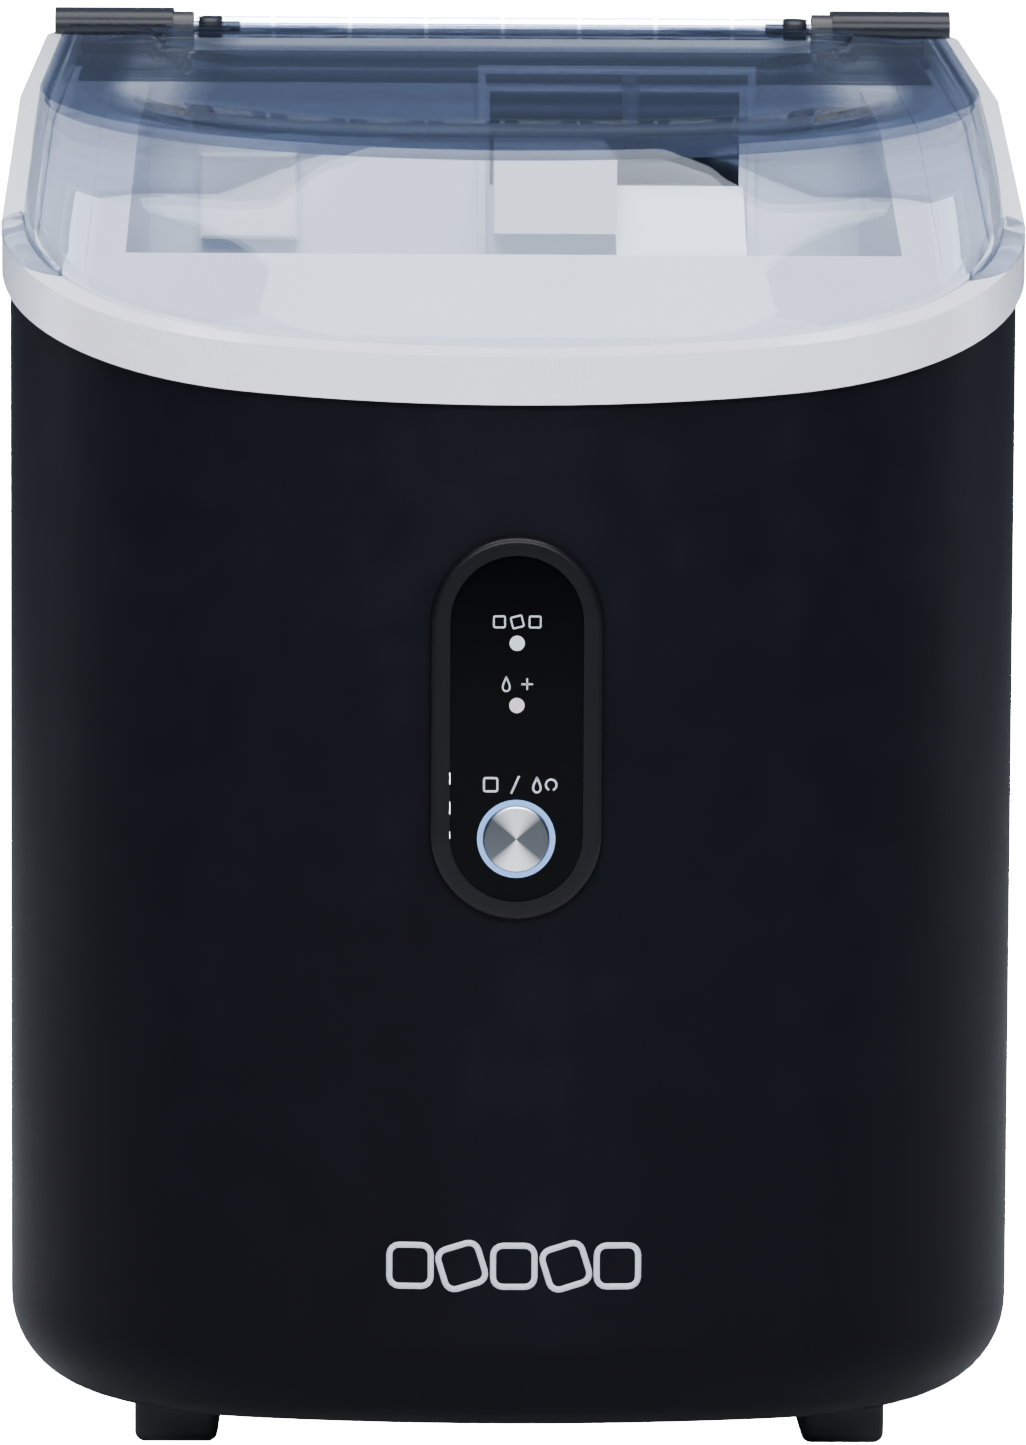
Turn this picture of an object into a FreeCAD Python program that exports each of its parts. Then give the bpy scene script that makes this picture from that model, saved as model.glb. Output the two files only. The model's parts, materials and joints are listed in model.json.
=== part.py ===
import FreeCAD, Part
import math
import os
import Sketcher

Vector = FreeCAD.Vector
doc = FreeCAD.newDocument("ice_maker")

# ---------------------------------------------------------------- driving dimensions, millimetres and degrees
sheet = doc.addObject("Spreadsheet::Sheet", "dims")
driving = {
    # plan outline of the trim ring, the widest piece; every other outline is an inset of it
    "trimWidth": 240, "trimDepth": 300, "frontRadius": 275, "cornerRadius": 75, "rearCorner": 20,
    # side profile of the trim ring's lower edge: steep at the front, shallower behind the knee
    "profileFront": 245, "frontSlope": 20.5, "rearSlope": 7.5, "kneeInset": 155, "trimHeight": 10.8,
    # casing
    "footHeight": 10, "shellInset": 2, "shellWall": 2.5, "bottomRound": 22, "basePlate": 3,
    "trimLand": 8, "rearPanelWall": 2.5, "rearPanelSide": 22, "rearPanelTop": 20,
    "footWidth": 19.5, "footLength": 26, "footSide": 42, "footInset": 50, "rearFootInset": 28,
    # inner liner and its ice well, set in from the trim's sides, front and rear, its floor above the compressor
    "linerWall": 2, "wellSide": 29, "wellFrontInset": 76, "wellRearInset": 70, "wellRise": 46.2,
    "deckDrop": 6, "basketGap": 2.5, "basketWall": 1.8, "basketDrop": 42,
    # lid and its hinge
    "lidWall": 2.6, "lidGap": 0.4, "lidInset": 5, "hingeInset": 13, "hingeBarrel": 3,
    "hingePin": 1.5, "hingePinLength": 29, "pinClear": 0.05, "barrelSide": 39,
    "hingeCoverRadius": 5, "hingeCoverInner": 33, "hingeCoverOuter": 2,
    "tabFront": 43, "tabLength": 32, "tabReach": 1.3,
    # control panel, measured down from the trim's lower edge at the front
    "panelDrop": 72.7, "bezelWidth": 39, "bezelHeight": 86.5, "bezelProud": 2.5, "bezelRim": 2,
    "lensWidth": 30, "lensHeight": 78, "lensThick": 2, "lensRecess": 0.8, "fitGap": 0.3,
    "buttonDrop": 97.5, "buttonDiameter": 14.8, "buttonFit": 0.15, "haloDiameter": 17.6,
    "ledDiameter": 3.4, "ledLength": 4.5, "ledUpperDrop": 53.4, "ledLowerDrop": 67.4, "buttonTravel": 1.2,
    # ice machinery
    "barrelDiameter": 52, "barrelWall": 3, "augerX": 26, "augerInset": 36, "augerFloor": 92, "augerRise": 31,
    "shaftDiameter": 10, "shaftFit": 0.05, "gearModule": 1.6,
    "compressorDiameter": 92, "compressorHeight": 96, "fanDiameter": 90, "fanDepth": 25,
    "floatTravel": 28,
}
row = 1
for alias, value in driving.items():
    sheet.set("A%d" % row, alias)
    sheet.set("B%d" % row, str(value))
    sheet.setAlias("B%d" % row, alias)
    row += 1
doc.recompute()


def dim(alias):
    """Value of a driving dimension, as the sheet holds it."""
    return float(sheet.get(alias))


parts = []          # the sub-parts to write, in order
half_width = dim("trimWidth") / 2
frontY = -dim("trimDepth") / 2
rearY = dim("trimDepth") / 2
knee_y = frontY + dim("kneeInset")
ample = 2 * (dim("trimWidth") + dim("trimDepth"))     # longer than anything in the assembly
sides = {"left": -1, "right": 1}


def keep(obj, label):
    """Name a sub-part after its node and list it for writing."""
    obj.Label = label
    parts.append(obj)
    return obj


def feature(label, shape, at=Vector(0, 0, 0)):
    """A sub-part whose shape comes from Part's own functions and the sheet's values."""
    obj = doc.addObject("Part::Feature", label)
    obj.Shape = shape
    obj.Placement = FreeCAD.Placement(at, FreeCAD.Rotation())
    return keep(obj, label)


def primitive(kind, label, at, **sizes):
    """A Part primitive whose sizes are expressions of the sheet, placed at a point."""
    obj = doc.addObject("Part::" + kind, label)
    for name, expression in sizes.items():
        obj.setExpression(name, expression)
    obj.Placement = FreeCAD.Placement(Vector(*at), FreeCAD.Rotation())
    return obj


def plane_of(body, role):
    """One of a body's own origin planes, found by its role."""
    for item in body.Origin.OriginFeatures:
        if item.Role == role:
            return item
    raise ValueError(role)


def outline(inset=0.0):
    """Plan outline as a wire at z = 0: bulged front, two round front corners, straight sides and back."""
    half = half_width - inset
    big = dim("frontRadius") - inset
    small = dim("cornerRadius") - inset
    tail = max(dim("rearCorner") - inset, 1.0)
    yFront = frontY + inset
    yRear = rearY - inset
    centreY = yFront + big
    cornerX = half - small
    cornerY = centreY - math.sqrt((big - small) ** 2 - cornerX ** 2)
    lean = math.atan2(cornerX, centreY - cornerY)       # direction from the front arc's centre to the joint
    joint = Vector(big * math.sin(lean), centreY - big * math.cos(lean), 0)
    half_turn = (lean + math.pi / 2) / 2
    middle = Vector(cornerX + small * math.sin(half_turn), cornerY - small * math.cos(half_turn), 0)
    side = Vector(half, cornerY, 0)
    sideRear = Vector(half, yRear - tail, 0)
    diagonal = tail * math.sqrt(0.5)
    rearMid = Vector(half - tail + diagonal, yRear - tail + diagonal, 0)
    rearEnd = Vector(half - tail, yRear, 0)

    def left(p):
        return Vector(-p.x, p.y, p.z)

    edges = [
        Part.Arc(left(joint), Vector(0, yFront, 0), joint).toShape(),
        Part.Arc(joint, middle, side).toShape(),
        Part.LineSegment(side, sideRear).toShape(),
        Part.Arc(sideRear, rearMid, rearEnd).toShape(),
        Part.LineSegment(rearEnd, left(rearEnd)).toShape(),
        Part.Arc(left(rearEnd), left(rearMid), left(sideRear)).toShape(),
        Part.LineSegment(left(sideRear), left(side)).toShape(),
        Part.Arc(left(side), left(middle), left(joint)).toShape(),
    ]
    return Part.Wire(edges)


def profile_z(y, rise=0.0):
    """Height of the trim's lower edge at depth y, plus a rise."""
    steep = math.tan(math.radians(dim("frontSlope")))
    shallow = math.tan(math.radians(dim("rearSlope")))
    knee = dim("profileFront") + (knee_y - frontY) * steep
    if y <= knee_y:
        return dim("profileFront") + (y - frontY) * steep + rise
    return knee + (y - knee_y) * shallow + rise


def slab(low, high):
    """Everything between two copies of the side profile, raised by low and high; None means the ground."""
    wide = dim("trimWidth")
    yA = frontY - wide / 4
    yB = rearY + wide / 4
    stations = [yA, knee_y, yB]
    upper = [Vector(-wide, y, profile_z(y, high)) for y in stations]
    if low is None:
        lower = [Vector(-wide, yA, 0), Vector(-wide, yB, 0)]
    else:
        lower = [Vector(-wide, y, profile_z(y, low)) for y in stations]
    loop = lower + upper[::-1]
    face = Part.Face(Part.makePolygon(loop + [loop[0]]))
    return face.extrude(Vector(2 * wide, 0, 0))


def prism(wire, low, high):
    """A plan outline raised from one height to another."""
    return Part.Face(wire).extrude(Vector(0, 0, high - low)).translated(Vector(0, 0, low))


def behind(low, high):
    """Everything across the assembly between two depths."""
    return Part.makeBox(ample, high - low, ample, Vector(-ample / 2, low, -ample / 2))


def box(x0, y0, z0, x1, y1, z1):
    """A block between two opposite corners."""
    return Part.makeBox(x1 - x0, y1 - y0, z1 - z0, Vector(x0, y0, z0))


def rod(radius, start, end):
    """A cylinder from one point to another."""
    along = end - start
    return Part.makeCylinder(radius, along.Length, start, along)


def capsule(width, height, depth, centre):
    """An upright stadium plate: round ends, its front at centre and its depth running to +Y."""
    r = width / 2
    straight = height / 2 - r
    up = Vector(centre.x, centre.y, centre.z + straight)
    down = Vector(centre.x, centre.y, centre.z - straight)
    edges = [
        Part.Arc(Vector(up.x + r, up.y, up.z), Vector(up.x, up.y, up.z + r), Vector(up.x - r, up.y, up.z)).toShape(),
        Part.LineSegment(Vector(up.x - r, up.y, up.z), Vector(down.x - r, down.y, down.z)).toShape(),
        Part.Arc(Vector(down.x - r, down.y, down.z), Vector(down.x, down.y, down.z - r),
                 Vector(down.x + r, down.y, down.z)).toShape(),
        Part.LineSegment(Vector(down.x + r, down.y, down.z), Vector(up.x + r, up.y, up.z)).toShape(),
    ]
    return Part.Face(Part.Wire(edges)).extrude(Vector(0, depth, 0))


def tube_path(points):
    """Straight runs joined by tangent arcs through a list of points."""
    share = 0.45        # of the shorter neighbouring run that each bend takes up
    edges = []
    last = points[0]
    for i in range(1, len(points) - 1):
        before = points[i - 1] - points[i]
        after = points[i + 1] - points[i]
        cut = share * min(before.Length, after.Length)
        a = points[i] + before.normalize() * cut
        b = points[i] + after.normalize() * cut
        turn = math.pi - before.getAngle(after)
        radius = cut / math.tan(turn / 2)
        bisector = (before + after).normalize()
        centre = points[i] + bisector * (radius / math.cos(turn / 2))
        middle = centre - bisector * radius
        edges.append(Part.LineSegment(last, a).toShape())
        edges.append(Part.Arc(a, middle, b).toShape())
        last = b
    edges.append(Part.LineSegment(last, points[-1]).toShape())
    return Part.Wire(edges)


def pipe(points, radius):
    """A solid round tube along a path of runs and arcs."""
    path = tube_path(points)
    start = points[0]
    along = points[1] - points[0]
    section = Part.Wire([Part.makeCircle(radius, start, along)])
    return path.makePipeShell([section], True, False)


# ---------------------------------------------------------------- casing
shellInset = dim("shellInset")
wall = dim("shellWall")
foot = dim("footHeight")
round_bottom = dim("bottomRound")


def tumbler(inset, low, radius):
    """A tall prism of the plan outline with its bottom edge rounded."""
    body = prism(outline(inset), low, low + ample)
    edges = [e for e in body.Edges if abs(e.BoundBox.ZMax - low) < 1e-6]
    return body.makeFillet(radius, edges)


vent_pitch = 8
vent_width = 3.4
vent_length = 84
vent_first = foot + 38
vent_rows = 9
fan_y = frontY + 130
outer = tumbler(shellInset, foot, round_bottom)
inner = tumbler(shellInset + wall, foot + wall, round_bottom - wall)
shell = outer.cut(inner).common(slab(None, 0))
plate_y = rearY - shellInset
rear_half = half_width - dim("rearPanelSide")
panel_low = foot + round_bottom + 3
panel_top = profile_z(plate_y) - dim("rearPanelTop")
shell = shell.cut(box(-rear_half, plate_y - 2 * wall, panel_low, rear_half, plate_y + wall, panel_top))
for i in range(vent_rows):
    z = vent_first + i * vent_pitch
    shell = shell.cut(box(-half_width, fan_y - vent_length / 2, z, half_width, fan_y + vent_length / 2, z + vent_width))
gap = dim("fitGap")
front_face = frontY + shellInset
panel_z0 = dim("profileFront") - dim("panelDrop")
socket_width = dim("bezelWidth") - 2 * dim("bezelRim")
socket_height = dim("bezelHeight") - 2 * dim("bezelRim")
shell = shell.cut(capsule(socket_width, socket_height, 8 * wall, Vector(0, front_face - wall, panel_z0)))
feature("outer_shell", shell)

# the floor closes the casing inside the rounded bottom and carries the works
floor_top = foot + wall + dim("basePlate") + gap
base = inner.common(prism(outline(shellInset + wall + round_bottom / 2), foot + wall + gap / 10, floor_top))
feature("base_pan", base)

foot_round = 2.5
foot_y = {"front": frontY + dim("footInset") + dim("footLength") / 2,
          "rear": rearY - dim("rearFootInset") - dim("footLength") / 2}
for place, y in foot_y.items():
    for side, sign in sides.items():
        label = "foot_%s_%s" % (place, side)
        body = doc.addObject("PartDesign::Body", label)
        sketch = body.newObject("Sketcher::SketchObject", label + "_outline")
        sketch.AttachmentSupport = [(plane_of(body, "XY_Plane"), "")]
        sketch.MapMode = "FlatFace"
        half_x = dim("footWidth") / 2
        half_y = dim("footLength") / 2
        corners = [Vector(-half_x, -half_y, 0), Vector(half_x, -half_y, 0), Vector(half_x, half_y, 0),
                   Vector(-half_x, half_y, 0)]
        for i in range(4):
            sketch.addGeometry(Part.LineSegment(corners[i], corners[(i + 1) % 4]), False)
        for i in range(4):
            sketch.addConstraint(Sketcher.Constraint("Coincident", i, 2, (i + 1) % 4, 1))
        for i in (0, 2):
            sketch.addConstraint(Sketcher.Constraint("Horizontal", i))
        for i in (1, 3):
            sketch.addConstraint(Sketcher.Constraint("Vertical", i))
        sketch.addConstraint(Sketcher.Constraint("Symmetric", 0, 1, 1, 2, -1, 1))
        width_id = sketch.addConstraint(Sketcher.Constraint("DistanceX", 0, 1, 0, 2, 2 * half_x))
        length_id = sketch.addConstraint(Sketcher.Constraint("DistanceY", 1, 1, 1, 2, 2 * half_y))
        sketch.setExpression("Constraints[%d]" % width_id, "dims.footWidth")
        sketch.setExpression("Constraints[%d]" % length_id, "dims.footLength")
        pad = body.newObject("PartDesign::Pad", label + "_pad")
        pad.Profile = sketch
        pad.setExpression("Length", "dims.footHeight")
        doc.recompute()
        soft = body.newObject("PartDesign::Fillet", label + "_round")
        low_edges = ["Edge%d" % (i + 1) for i, e in enumerate(pad.Shape.Edges) if e.BoundBox.ZMax < dim("footHeight") / 2
                     or e.BoundBox.ZLength > dim("footHeight") / 2]
        soft.Base = (pad, low_edges)
        soft.Radius = foot_round
        body.Tip = soft
        body.Placement = FreeCAD.Placement(Vector(sign * (half_width - dim("footSide")), y, 0), FreeCAD.Rotation())
        keep(body, label)

# trim ring round the top: proud of the shell, with a land that the lid closes on
trim_high = dim("trimHeight")
land = dim("trimLand")
trim = prism(outline(), 0, ample).cut(prism(outline(land), 0, ample)).common(slab(0, trim_high))
feature("trim_ring", trim)

# rear panel: a plate in the casing's rear opening, with louvres, a drain hole and the power inlet's window
inlet_x = rear_half - 24
inlet_z = panel_low + 30
inlet_width = 27.5
inlet_height = 20
drain_x = -rear_half + 32
drain_z = panel_low + 20
drain_radius = 8
through = 10        # how far a cut runs past the plate it goes through
rear_panel = box(-rear_half + gap, plate_y - dim("rearPanelWall"), panel_low + gap,
                 rear_half - gap, plate_y, panel_top - gap)
rear_panel = rear_panel.common(slab(None, -2))
louvre_rows = 12
louvre_low = panel_low + 64
louvre_pitch = 2 * rear_half / 3.27
louvre_half = 0.4 * louvre_pitch
for i in range(louvre_rows):
    z = louvre_low + i * vent_pitch
    for column in (-1, 0, 1):
        x = column * louvre_pitch
        rear_panel = rear_panel.cut(box(x - louvre_half, plate_y - through, z,
                                        x + louvre_half, plate_y + through, z + vent_width))
rear_panel = rear_panel.cut(box(inlet_x - inlet_width / 2, plate_y - through, inlet_z - inlet_height / 2,
                                inlet_x + inlet_width / 2, plate_y + through, inlet_z + inlet_height / 2))
rear_panel = rear_panel.cut(rod(drain_radius, Vector(drain_x, plate_y - through, drain_z),
                                Vector(drain_x, plate_y + through, drain_z)))
screw_shank = 1.6
screw_side = rear_half - 8
screw_places = []
for x in (-screw_side, screw_side):
    for z in (panel_low + 10, (panel_low + panel_top) / 2, panel_top - 14):
        screw_places.append(Vector(x, plate_y, z))
for at in screw_places:
    rear_panel = rear_panel.cut(rod(screw_shank, at - Vector(0, through, 0), at + Vector(0, through, 0)))
feature("rear_panel", rear_panel)

inlet_wall = 3.5
socket_depth = 14
pin_spread = 6
inlet = box(inlet_x - inlet_width / 2 + gap, plate_y - socket_depth - inlet_wall, inlet_z - inlet_height / 2 + gap,
            inlet_x + inlet_width / 2 - gap, plate_y + 0.8, inlet_z + inlet_height / 2 - gap)
inlet = inlet.cut(box(inlet_x - inlet_width / 2 + inlet_wall, plate_y - socket_depth, inlet_z - inlet_height / 2 + inlet_wall,
                      inlet_x + inlet_width / 2 - inlet_wall, plate_y + 2, inlet_z + inlet_height / 2 - inlet_wall))
for x in (-pin_spread, 0, pin_spread):
    inlet = inlet.fuse(box(inlet_x + x - 1, plate_y - socket_depth - 1, inlet_z - 2,
                           inlet_x + x + 1, plate_y - 4, inlet_z + 2))
feature("power_inlet", inlet)

# drain bung: pulls straight out of the rear
bung_clear = 0.08
bung_depth = 9
bung_head = 2.5
bung = rod(drain_radius - bung_clear, Vector(drain_x, plate_y - bung_depth, drain_z),
           Vector(drain_x, plate_y + bung_head, drain_z))
bung = bung.fuse(rod(drain_radius + 3, Vector(drain_x, plate_y + gap, drain_z),
                     Vector(drain_x, plate_y + bung_head, drain_z)))
feature("drain_bung", bung.removeSplitter())

# ---------------------------------------------------------------- liner and its ice well
liner_wall = dim("linerWall")
well = half_width - dim("wellSide")
well_front = frontY + dim("wellFrontInset")
well_rear = rearY - dim("wellRearInset")
well_floor = floor_top + dim("compressorHeight") + dim("wellRise")
deck_high = trim_high - dim("deckDrop")
hinge_y = rearY - dim("hingeInset")
beam_front = hinge_y - 16
deck = prism(outline(land + gap), 0, ample).common(slab(deck_high - liner_wall, deck_high))
deck = deck.common(behind(frontY, beam_front - 6))
well_box = box(-well - liner_wall, well_front - liner_wall, well_floor - liner_wall,
               well + liner_wall, well_rear + liner_wall, ample).common(slab(None, deck_high))
liner = deck.fuse(well_box).cut(box(-well, well_front, well_floor, well, well_rear, ample))
# the deck steps down along a shallow arc in front of the well
step_drop = 1
step_radius = 1.08 * dim("frontRadius")
step_front = well_front - 23
step = rod(step_radius, Vector(0, step_front + step_radius, 0), Vector(0, step_front + step_radius, ample))
step = step.common(slab(deck_high - step_drop, deck_high + 1)).common(behind(frontY, well_rear))
step = step.common(box(-well - 9, frontY, 0, well + 9, rearY, ample))
liner = liner.cut(step)
auger_x = dim("augerX")
auger_y = rearY - dim("augerInset")
auger_top = dim("profileFront") + dim("augerRise")
barrel_radius = dim("barrelDiameter") / 2
window_low = auger_top + 16
window_top = profile_z(well_rear, trim_high) - 4
window_left = auger_x - 30
window_right = auger_x + 34
liner = liner.cut(box(window_left, well_rear - 1, window_low, window_right, well_rear + liner_wall + 1, window_top))
liner = liner.cut(rod(barrel_radius + 1, Vector(auger_x, auger_y, 0), Vector(auger_x, auger_y, ample)))
feature("liner", liner.removeSplitter())

# ice basket: a light tub standing in the well, its rim below the spout
basket_gap = dim("basketGap")
basket_wall = dim("basketWall")
basket_low = well_floor + gap
basket_top = auger_top - dim("basketDrop")
basket_round = 5


def tub(inset, low):
    """A block set in from the well's walls, open upwards, with rounded upright edges."""
    block = box(-well + inset, well_front + inset, low, well - inset, well_rear - inset, basket_top)
    edges = [e for e in block.Edges if e.BoundBox.ZLength > basket_wall + gap]
    return block.makeFillet(basket_round + basket_gap - inset, edges)


basket = tub(basket_gap, basket_low).cut(tub(basket_gap + basket_wall, basket_low + basket_wall))
feature("ice_basket", basket)

# ---------------------------------------------------------------- lid: a clear wedge over a flat rear panel
lid_wall = dim("lidWall")
lid_low = trim_high + dim("lidGap")
lid_inset = dim("lidInset")
shallow = math.tan(math.radians(dim("rearSlope")))


def panel_z(y, drop=0.0):
    """Height of the lid's top panel, which runs on forwards past the knee."""
    return profile_z(knee_y, lid_low + lid_wall) + (y - knee_y) * shallow - drop


def front_points(inset, count):
    """Points along the front of a plan outline, from the left side at the knee to the right."""
    wire = outline(inset)
    half = half_width - inset
    corner = wire.Edges[1].Vertexes
    side_y = max(v.Point.y for v in corner)
    run = knee_y - side_y
    curve = wire.Edges[0].Length + 2 * wire.Edges[1].Length
    total = curve + 2 * run
    chain = Part.Wire([wire.Edges[7], wire.Edges[0], wire.Edges[1]])
    arcs = chain.discretize(Number=400)
    if arcs[0].x > 0:
        arcs = arcs[::-1]
    points = []
    for i in range(count):
        along = total * i / (count - 1)
        if along < run:
            points.append(Vector(-half, knee_y - along, 0))
        elif along > total - run:
            points.append(Vector(half, knee_y - (total - along), 0))
        else:
            points.append(arcs[int(round((along - run) / curve * 399))])
    return points


def visor(inset, below, drop):
    """The wedge in front of the knee: a rim on the trim, a side crease and a round crease on top."""
    count = 33
    low = front_points(inset, count)
    radius = half_width - inset
    wires = []
    rim, crease, top = [], [], []
    for i, p in enumerate(low):
        angle = math.pi * i / (count - 1)
        q = Vector(-radius * math.cos(angle), knee_y - radius * math.sin(angle), 0)
        lowZ = profile_z(p.y, lid_low)
        topZ = panel_z(q.y, drop)
        share = min(max((abs(p.x) / radius - 0.35) / 0.5, 0), 1)
        share = share * share * (3 - 2 * share)
        flat = 0.45 - 0.39 * share
        lift = 0.45 + 0.27 * share
        rim.append(Vector(p.x, p.y, lowZ - below))
        crease.append(Vector(p.x + (q.x - p.x) * flat, p.y + (q.y - p.y) * flat, lowZ + (topZ - lowZ) * lift))
        top.append(Vector(q.x, q.y, topZ))
    for row_points in (rim, crease, top):
        curve = Part.BSplineCurve()
        curve.interpolate(row_points)
        wires.append(Part.Wire([curve.toShape(), Part.LineSegment(row_points[-1], row_points[0]).toShape()]))
    return Part.makeLoft(wires, True, True)



barrel = dim("hingeBarrel")
barrel_half = half_width - dim("barrelSide")
hinge_z = panel_z(hinge_y) - lid_wall / 2
pin_radius = dim("hingePin")
pin_length = dim("hingePinLength")
pin_inner = barrel_half - 0.4 * pin_length
cover_radius = dim("hingeCoverRadius")
panel_rear = hinge_y - cover_radius - 0.8
lid_slab = slab(lid_low, lid_low + lid_wall)
lid = prism(outline(lid_inset), 0, ample).common(behind(knee_y - 0.5, panel_rear)).common(lid_slab)
tongue = box(-barrel_half, panel_rear - 1, 0, barrel_half, hinge_y, ample)
lid = lid.fuse(tongue.common(lid_slab))
lid = lid.fuse(rod(barrel, Vector(-barrel_half, hinge_y, hinge_z), Vector(barrel_half, hinge_y, hinge_z)))
rim_reach = 6
hollow = visor(lid_inset + lid_wall, rim_reach, lid_wall).common(behind(frontY, knee_y - 0.2))
lid = lid.fuse(visor(lid_inset, 0, 0)).cut(hollow)
tab_front = frontY + dim("tabFront")
tab = prism(outline(-dim("tabReach")), 0, ample).cut(prism(outline(lid_inset + 1), 0, ample))
lid = lid.fuse(tab.common(lid_slab).common(behind(tab_front, tab_front + dim("tabLength"))))
for sign in sides.values():
    bore = rod(pin_radius + dim("pinClear"), Vector(sign * (pin_inner - 1), hinge_y, hinge_z),
               Vector(sign * (barrel_half + 1), hinge_y, hinge_z))
    lid = lid.cut(bore)
feature("lid", lid)

# rear housing: the black beam behind the lid that holds the hinge pins
beam_low = profile_z(beam_front) - 18.2
beam_rear = rearY - land - gap
ear_radius = 4
ear_gap = 0.5
beam = box(-half_width, beam_front, beam_low, half_width, beam_rear, ample)
beam = beam.common(prism(outline(land + gap), 0, ample)).common(slab(None, deck_high + 1))
beam = beam.cut(rod(barrel + 4 * gap, Vector(-barrel_half - 1, hinge_y, hinge_z), Vector(barrel_half + 1, hinge_y, hinge_z)))
ear_inner = barrel_half + ear_gap
ear_outer = half_width - land - 1
for sign in sides.values():
    x0, x1 = sorted((sign * ear_inner, sign * ear_outer))
    ear = box(x0, hinge_y - ear_radius, beam_low + 6, x1, beam_rear, hinge_z)
    ear = ear.fuse(rod(ear_radius, Vector(x0, hinge_y, hinge_z), Vector(x1, hinge_y, hinge_z)))
    beam = beam.fuse(ear.common(prism(outline(land + gap), 0, ample)))
    beam = beam.cut(rod(pin_radius, Vector(sign * (ear_inner - 1), hinge_y, hinge_z),
                        Vector(sign * (pin_inner + pin_length + 0.5), hinge_y, hinge_z)))
feature("rear_housing", beam.removeSplitter())

for side, sign in sides.items():
    start = Vector(sign * pin_inner, hinge_y, hinge_z)
    pin = primitive("Cylinder", "hinge_pin_" + side, start, Radius="dims.hingePin", Height="dims.hingePinLength")
    pin.Placement = FreeCAD.Placement(start, FreeCAD.Rotation(Vector(0, 1, 0), 90 * sign))
    keep(pin, "hinge_pin_" + side)
    x0, x1 = sorted((sign * (half_width - dim("hingeCoverInner")), sign * (half_width - dim("hingeCoverOuter"))))
    cover = rod(cover_radius, Vector(x0, hinge_y, hinge_z), Vector(x1, hinge_y, hinge_z))
    cover = cover.fuse(box(x0, hinge_y, hinge_z - cover_radius, x1, rearY - 1, hinge_z + cover_radius))
    cover = cover.common(slab(trim_high + gap, ample))
    ear_room = rod(ear_radius + gap / 10, Vector(-half_width, hinge_y, hinge_z), Vector(half_width, hinge_y, hinge_z))
    ear_room = ear_room.fuse(box(-half_width, hinge_y - ear_radius, beam_low, half_width, rearY - land, hinge_z))
    feature("hinge_cover_" + side, cover.cut(ear_room))

# ---------------------------------------------------------------- control panel
proud = dim("bezelProud")
lens_front = front_face - proud + dim("lensRecess")
board_y = lens_front + 10
skirt_start = 1.7
bezel_round = 1.6
bezel = capsule(dim("bezelWidth"), dim("bezelHeight"), proud + 2, Vector(0, front_face - proud, panel_z0))
front_edges = [e for e in bezel.Edges if e.BoundBox.YMax < front_face - proud + 1e-6]
bezel = bezel.makeFillet(bezel_round, front_edges)
bezel = bezel.cut(tumbler(shellInset, foot, round_bottom))
bezel = bezel.fuse(capsule(socket_width - 2 * gap, socket_height - 2 * gap, board_y - front_face + proud - skirt_start,
                           Vector(0, front_face - proud + skirt_start, panel_z0)))
bezel = bezel.cut(capsule(dim("lensWidth"), dim("lensHeight"), 30, Vector(0, front_face - proud - 5, panel_z0)))
feature("control_bezel", bezel.removeSplitter())

lens_fit = 0.05
button_z = dim("profileFront") - dim("buttonDrop")
lens = capsule(dim("lensWidth") - 2 * lens_fit, dim("lensHeight") - 2 * lens_fit, dim("lensThick"),
               Vector(0, lens_front, panel_z0))
halo_radius = dim("haloDiameter") / 2
led_radius = dim("ledDiameter") / 2
lens = lens.cut(rod(halo_radius, Vector(0, lens_front - 5, button_z), Vector(0, lens_front + 9, button_z)))
led_heights = {"ice_full_light": dim("profileFront") - dim("ledUpperDrop"),
               "add_water_light": dim("profileFront") - dim("ledLowerDrop")}
led_proud = 0.1
for z in led_heights.values():
    lens = lens.cut(rod(led_radius, Vector(0, lens_front - 5, z), Vector(0, lens_front + 9, z)))
feature("panel_lens", lens)
for label, z in led_heights.items():
    light = primitive("Cylinder", label, (0, 0, 0), Radius="dims.ledDiameter / 2", Height="dims.ledLength")
    light.Placement = FreeCAD.Placement(Vector(0, lens_front - led_proud, z), FreeCAD.Rotation(Vector(1, 0, 0), -90))
    keep(light, label)
button_radius = dim("buttonDiameter") / 2
button_fit = dim("buttonFit")
halo = rod(halo_radius, Vector(0, lens_front - 0.4, button_z), Vector(0, lens_front + 4, button_z))
halo = halo.cut(rod(button_radius + button_fit, Vector(0, lens_front - 5, button_z), Vector(0, lens_front + 9, button_z)))
feature("button_halo", halo)
button = rod(button_radius, Vector(0, lens_front - 1.3, button_z), Vector(0, lens_front + 3.2, button_z))
rim_edges = [e for e in button.Edges if e.BoundBox.YMax < lens_front - 1.2]
button = button.makeFillet(0.5, rim_edges)
button = button.fuse(rod(2.2, Vector(0, lens_front + 3, button_z), Vector(0, lens_front + 5, button_z)))
feature("power_button", button)

board_thick = 1.6
board = capsule(dim("lensWidth") - 4, dim("lensHeight") - 6, board_thick, Vector(0, board_y, panel_z0))
feature("control_board", board)
switch_gap = dim("buttonTravel") + 0.4
switch = box(-3.2, lens_front + 5 + switch_gap, button_z - 3.2, 3.2, board_y, button_z + 3.2)
feature("tact_switch", switch)

# ---------------------------------------------------------------- ice machinery behind the liner
barrel_inner = barrel_radius - dim("barrelWall")
auger_floor = dim("augerFloor")
auger_at = Vector(auger_x, auger_y, 0)
shaft_radius = dim("shaftDiameter") / 2
shaft_fit = dim("shaftFit")


def on_axis(z):
    """The point of the auger's axis at a height."""
    return Vector(auger_x, auger_y, z)


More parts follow.
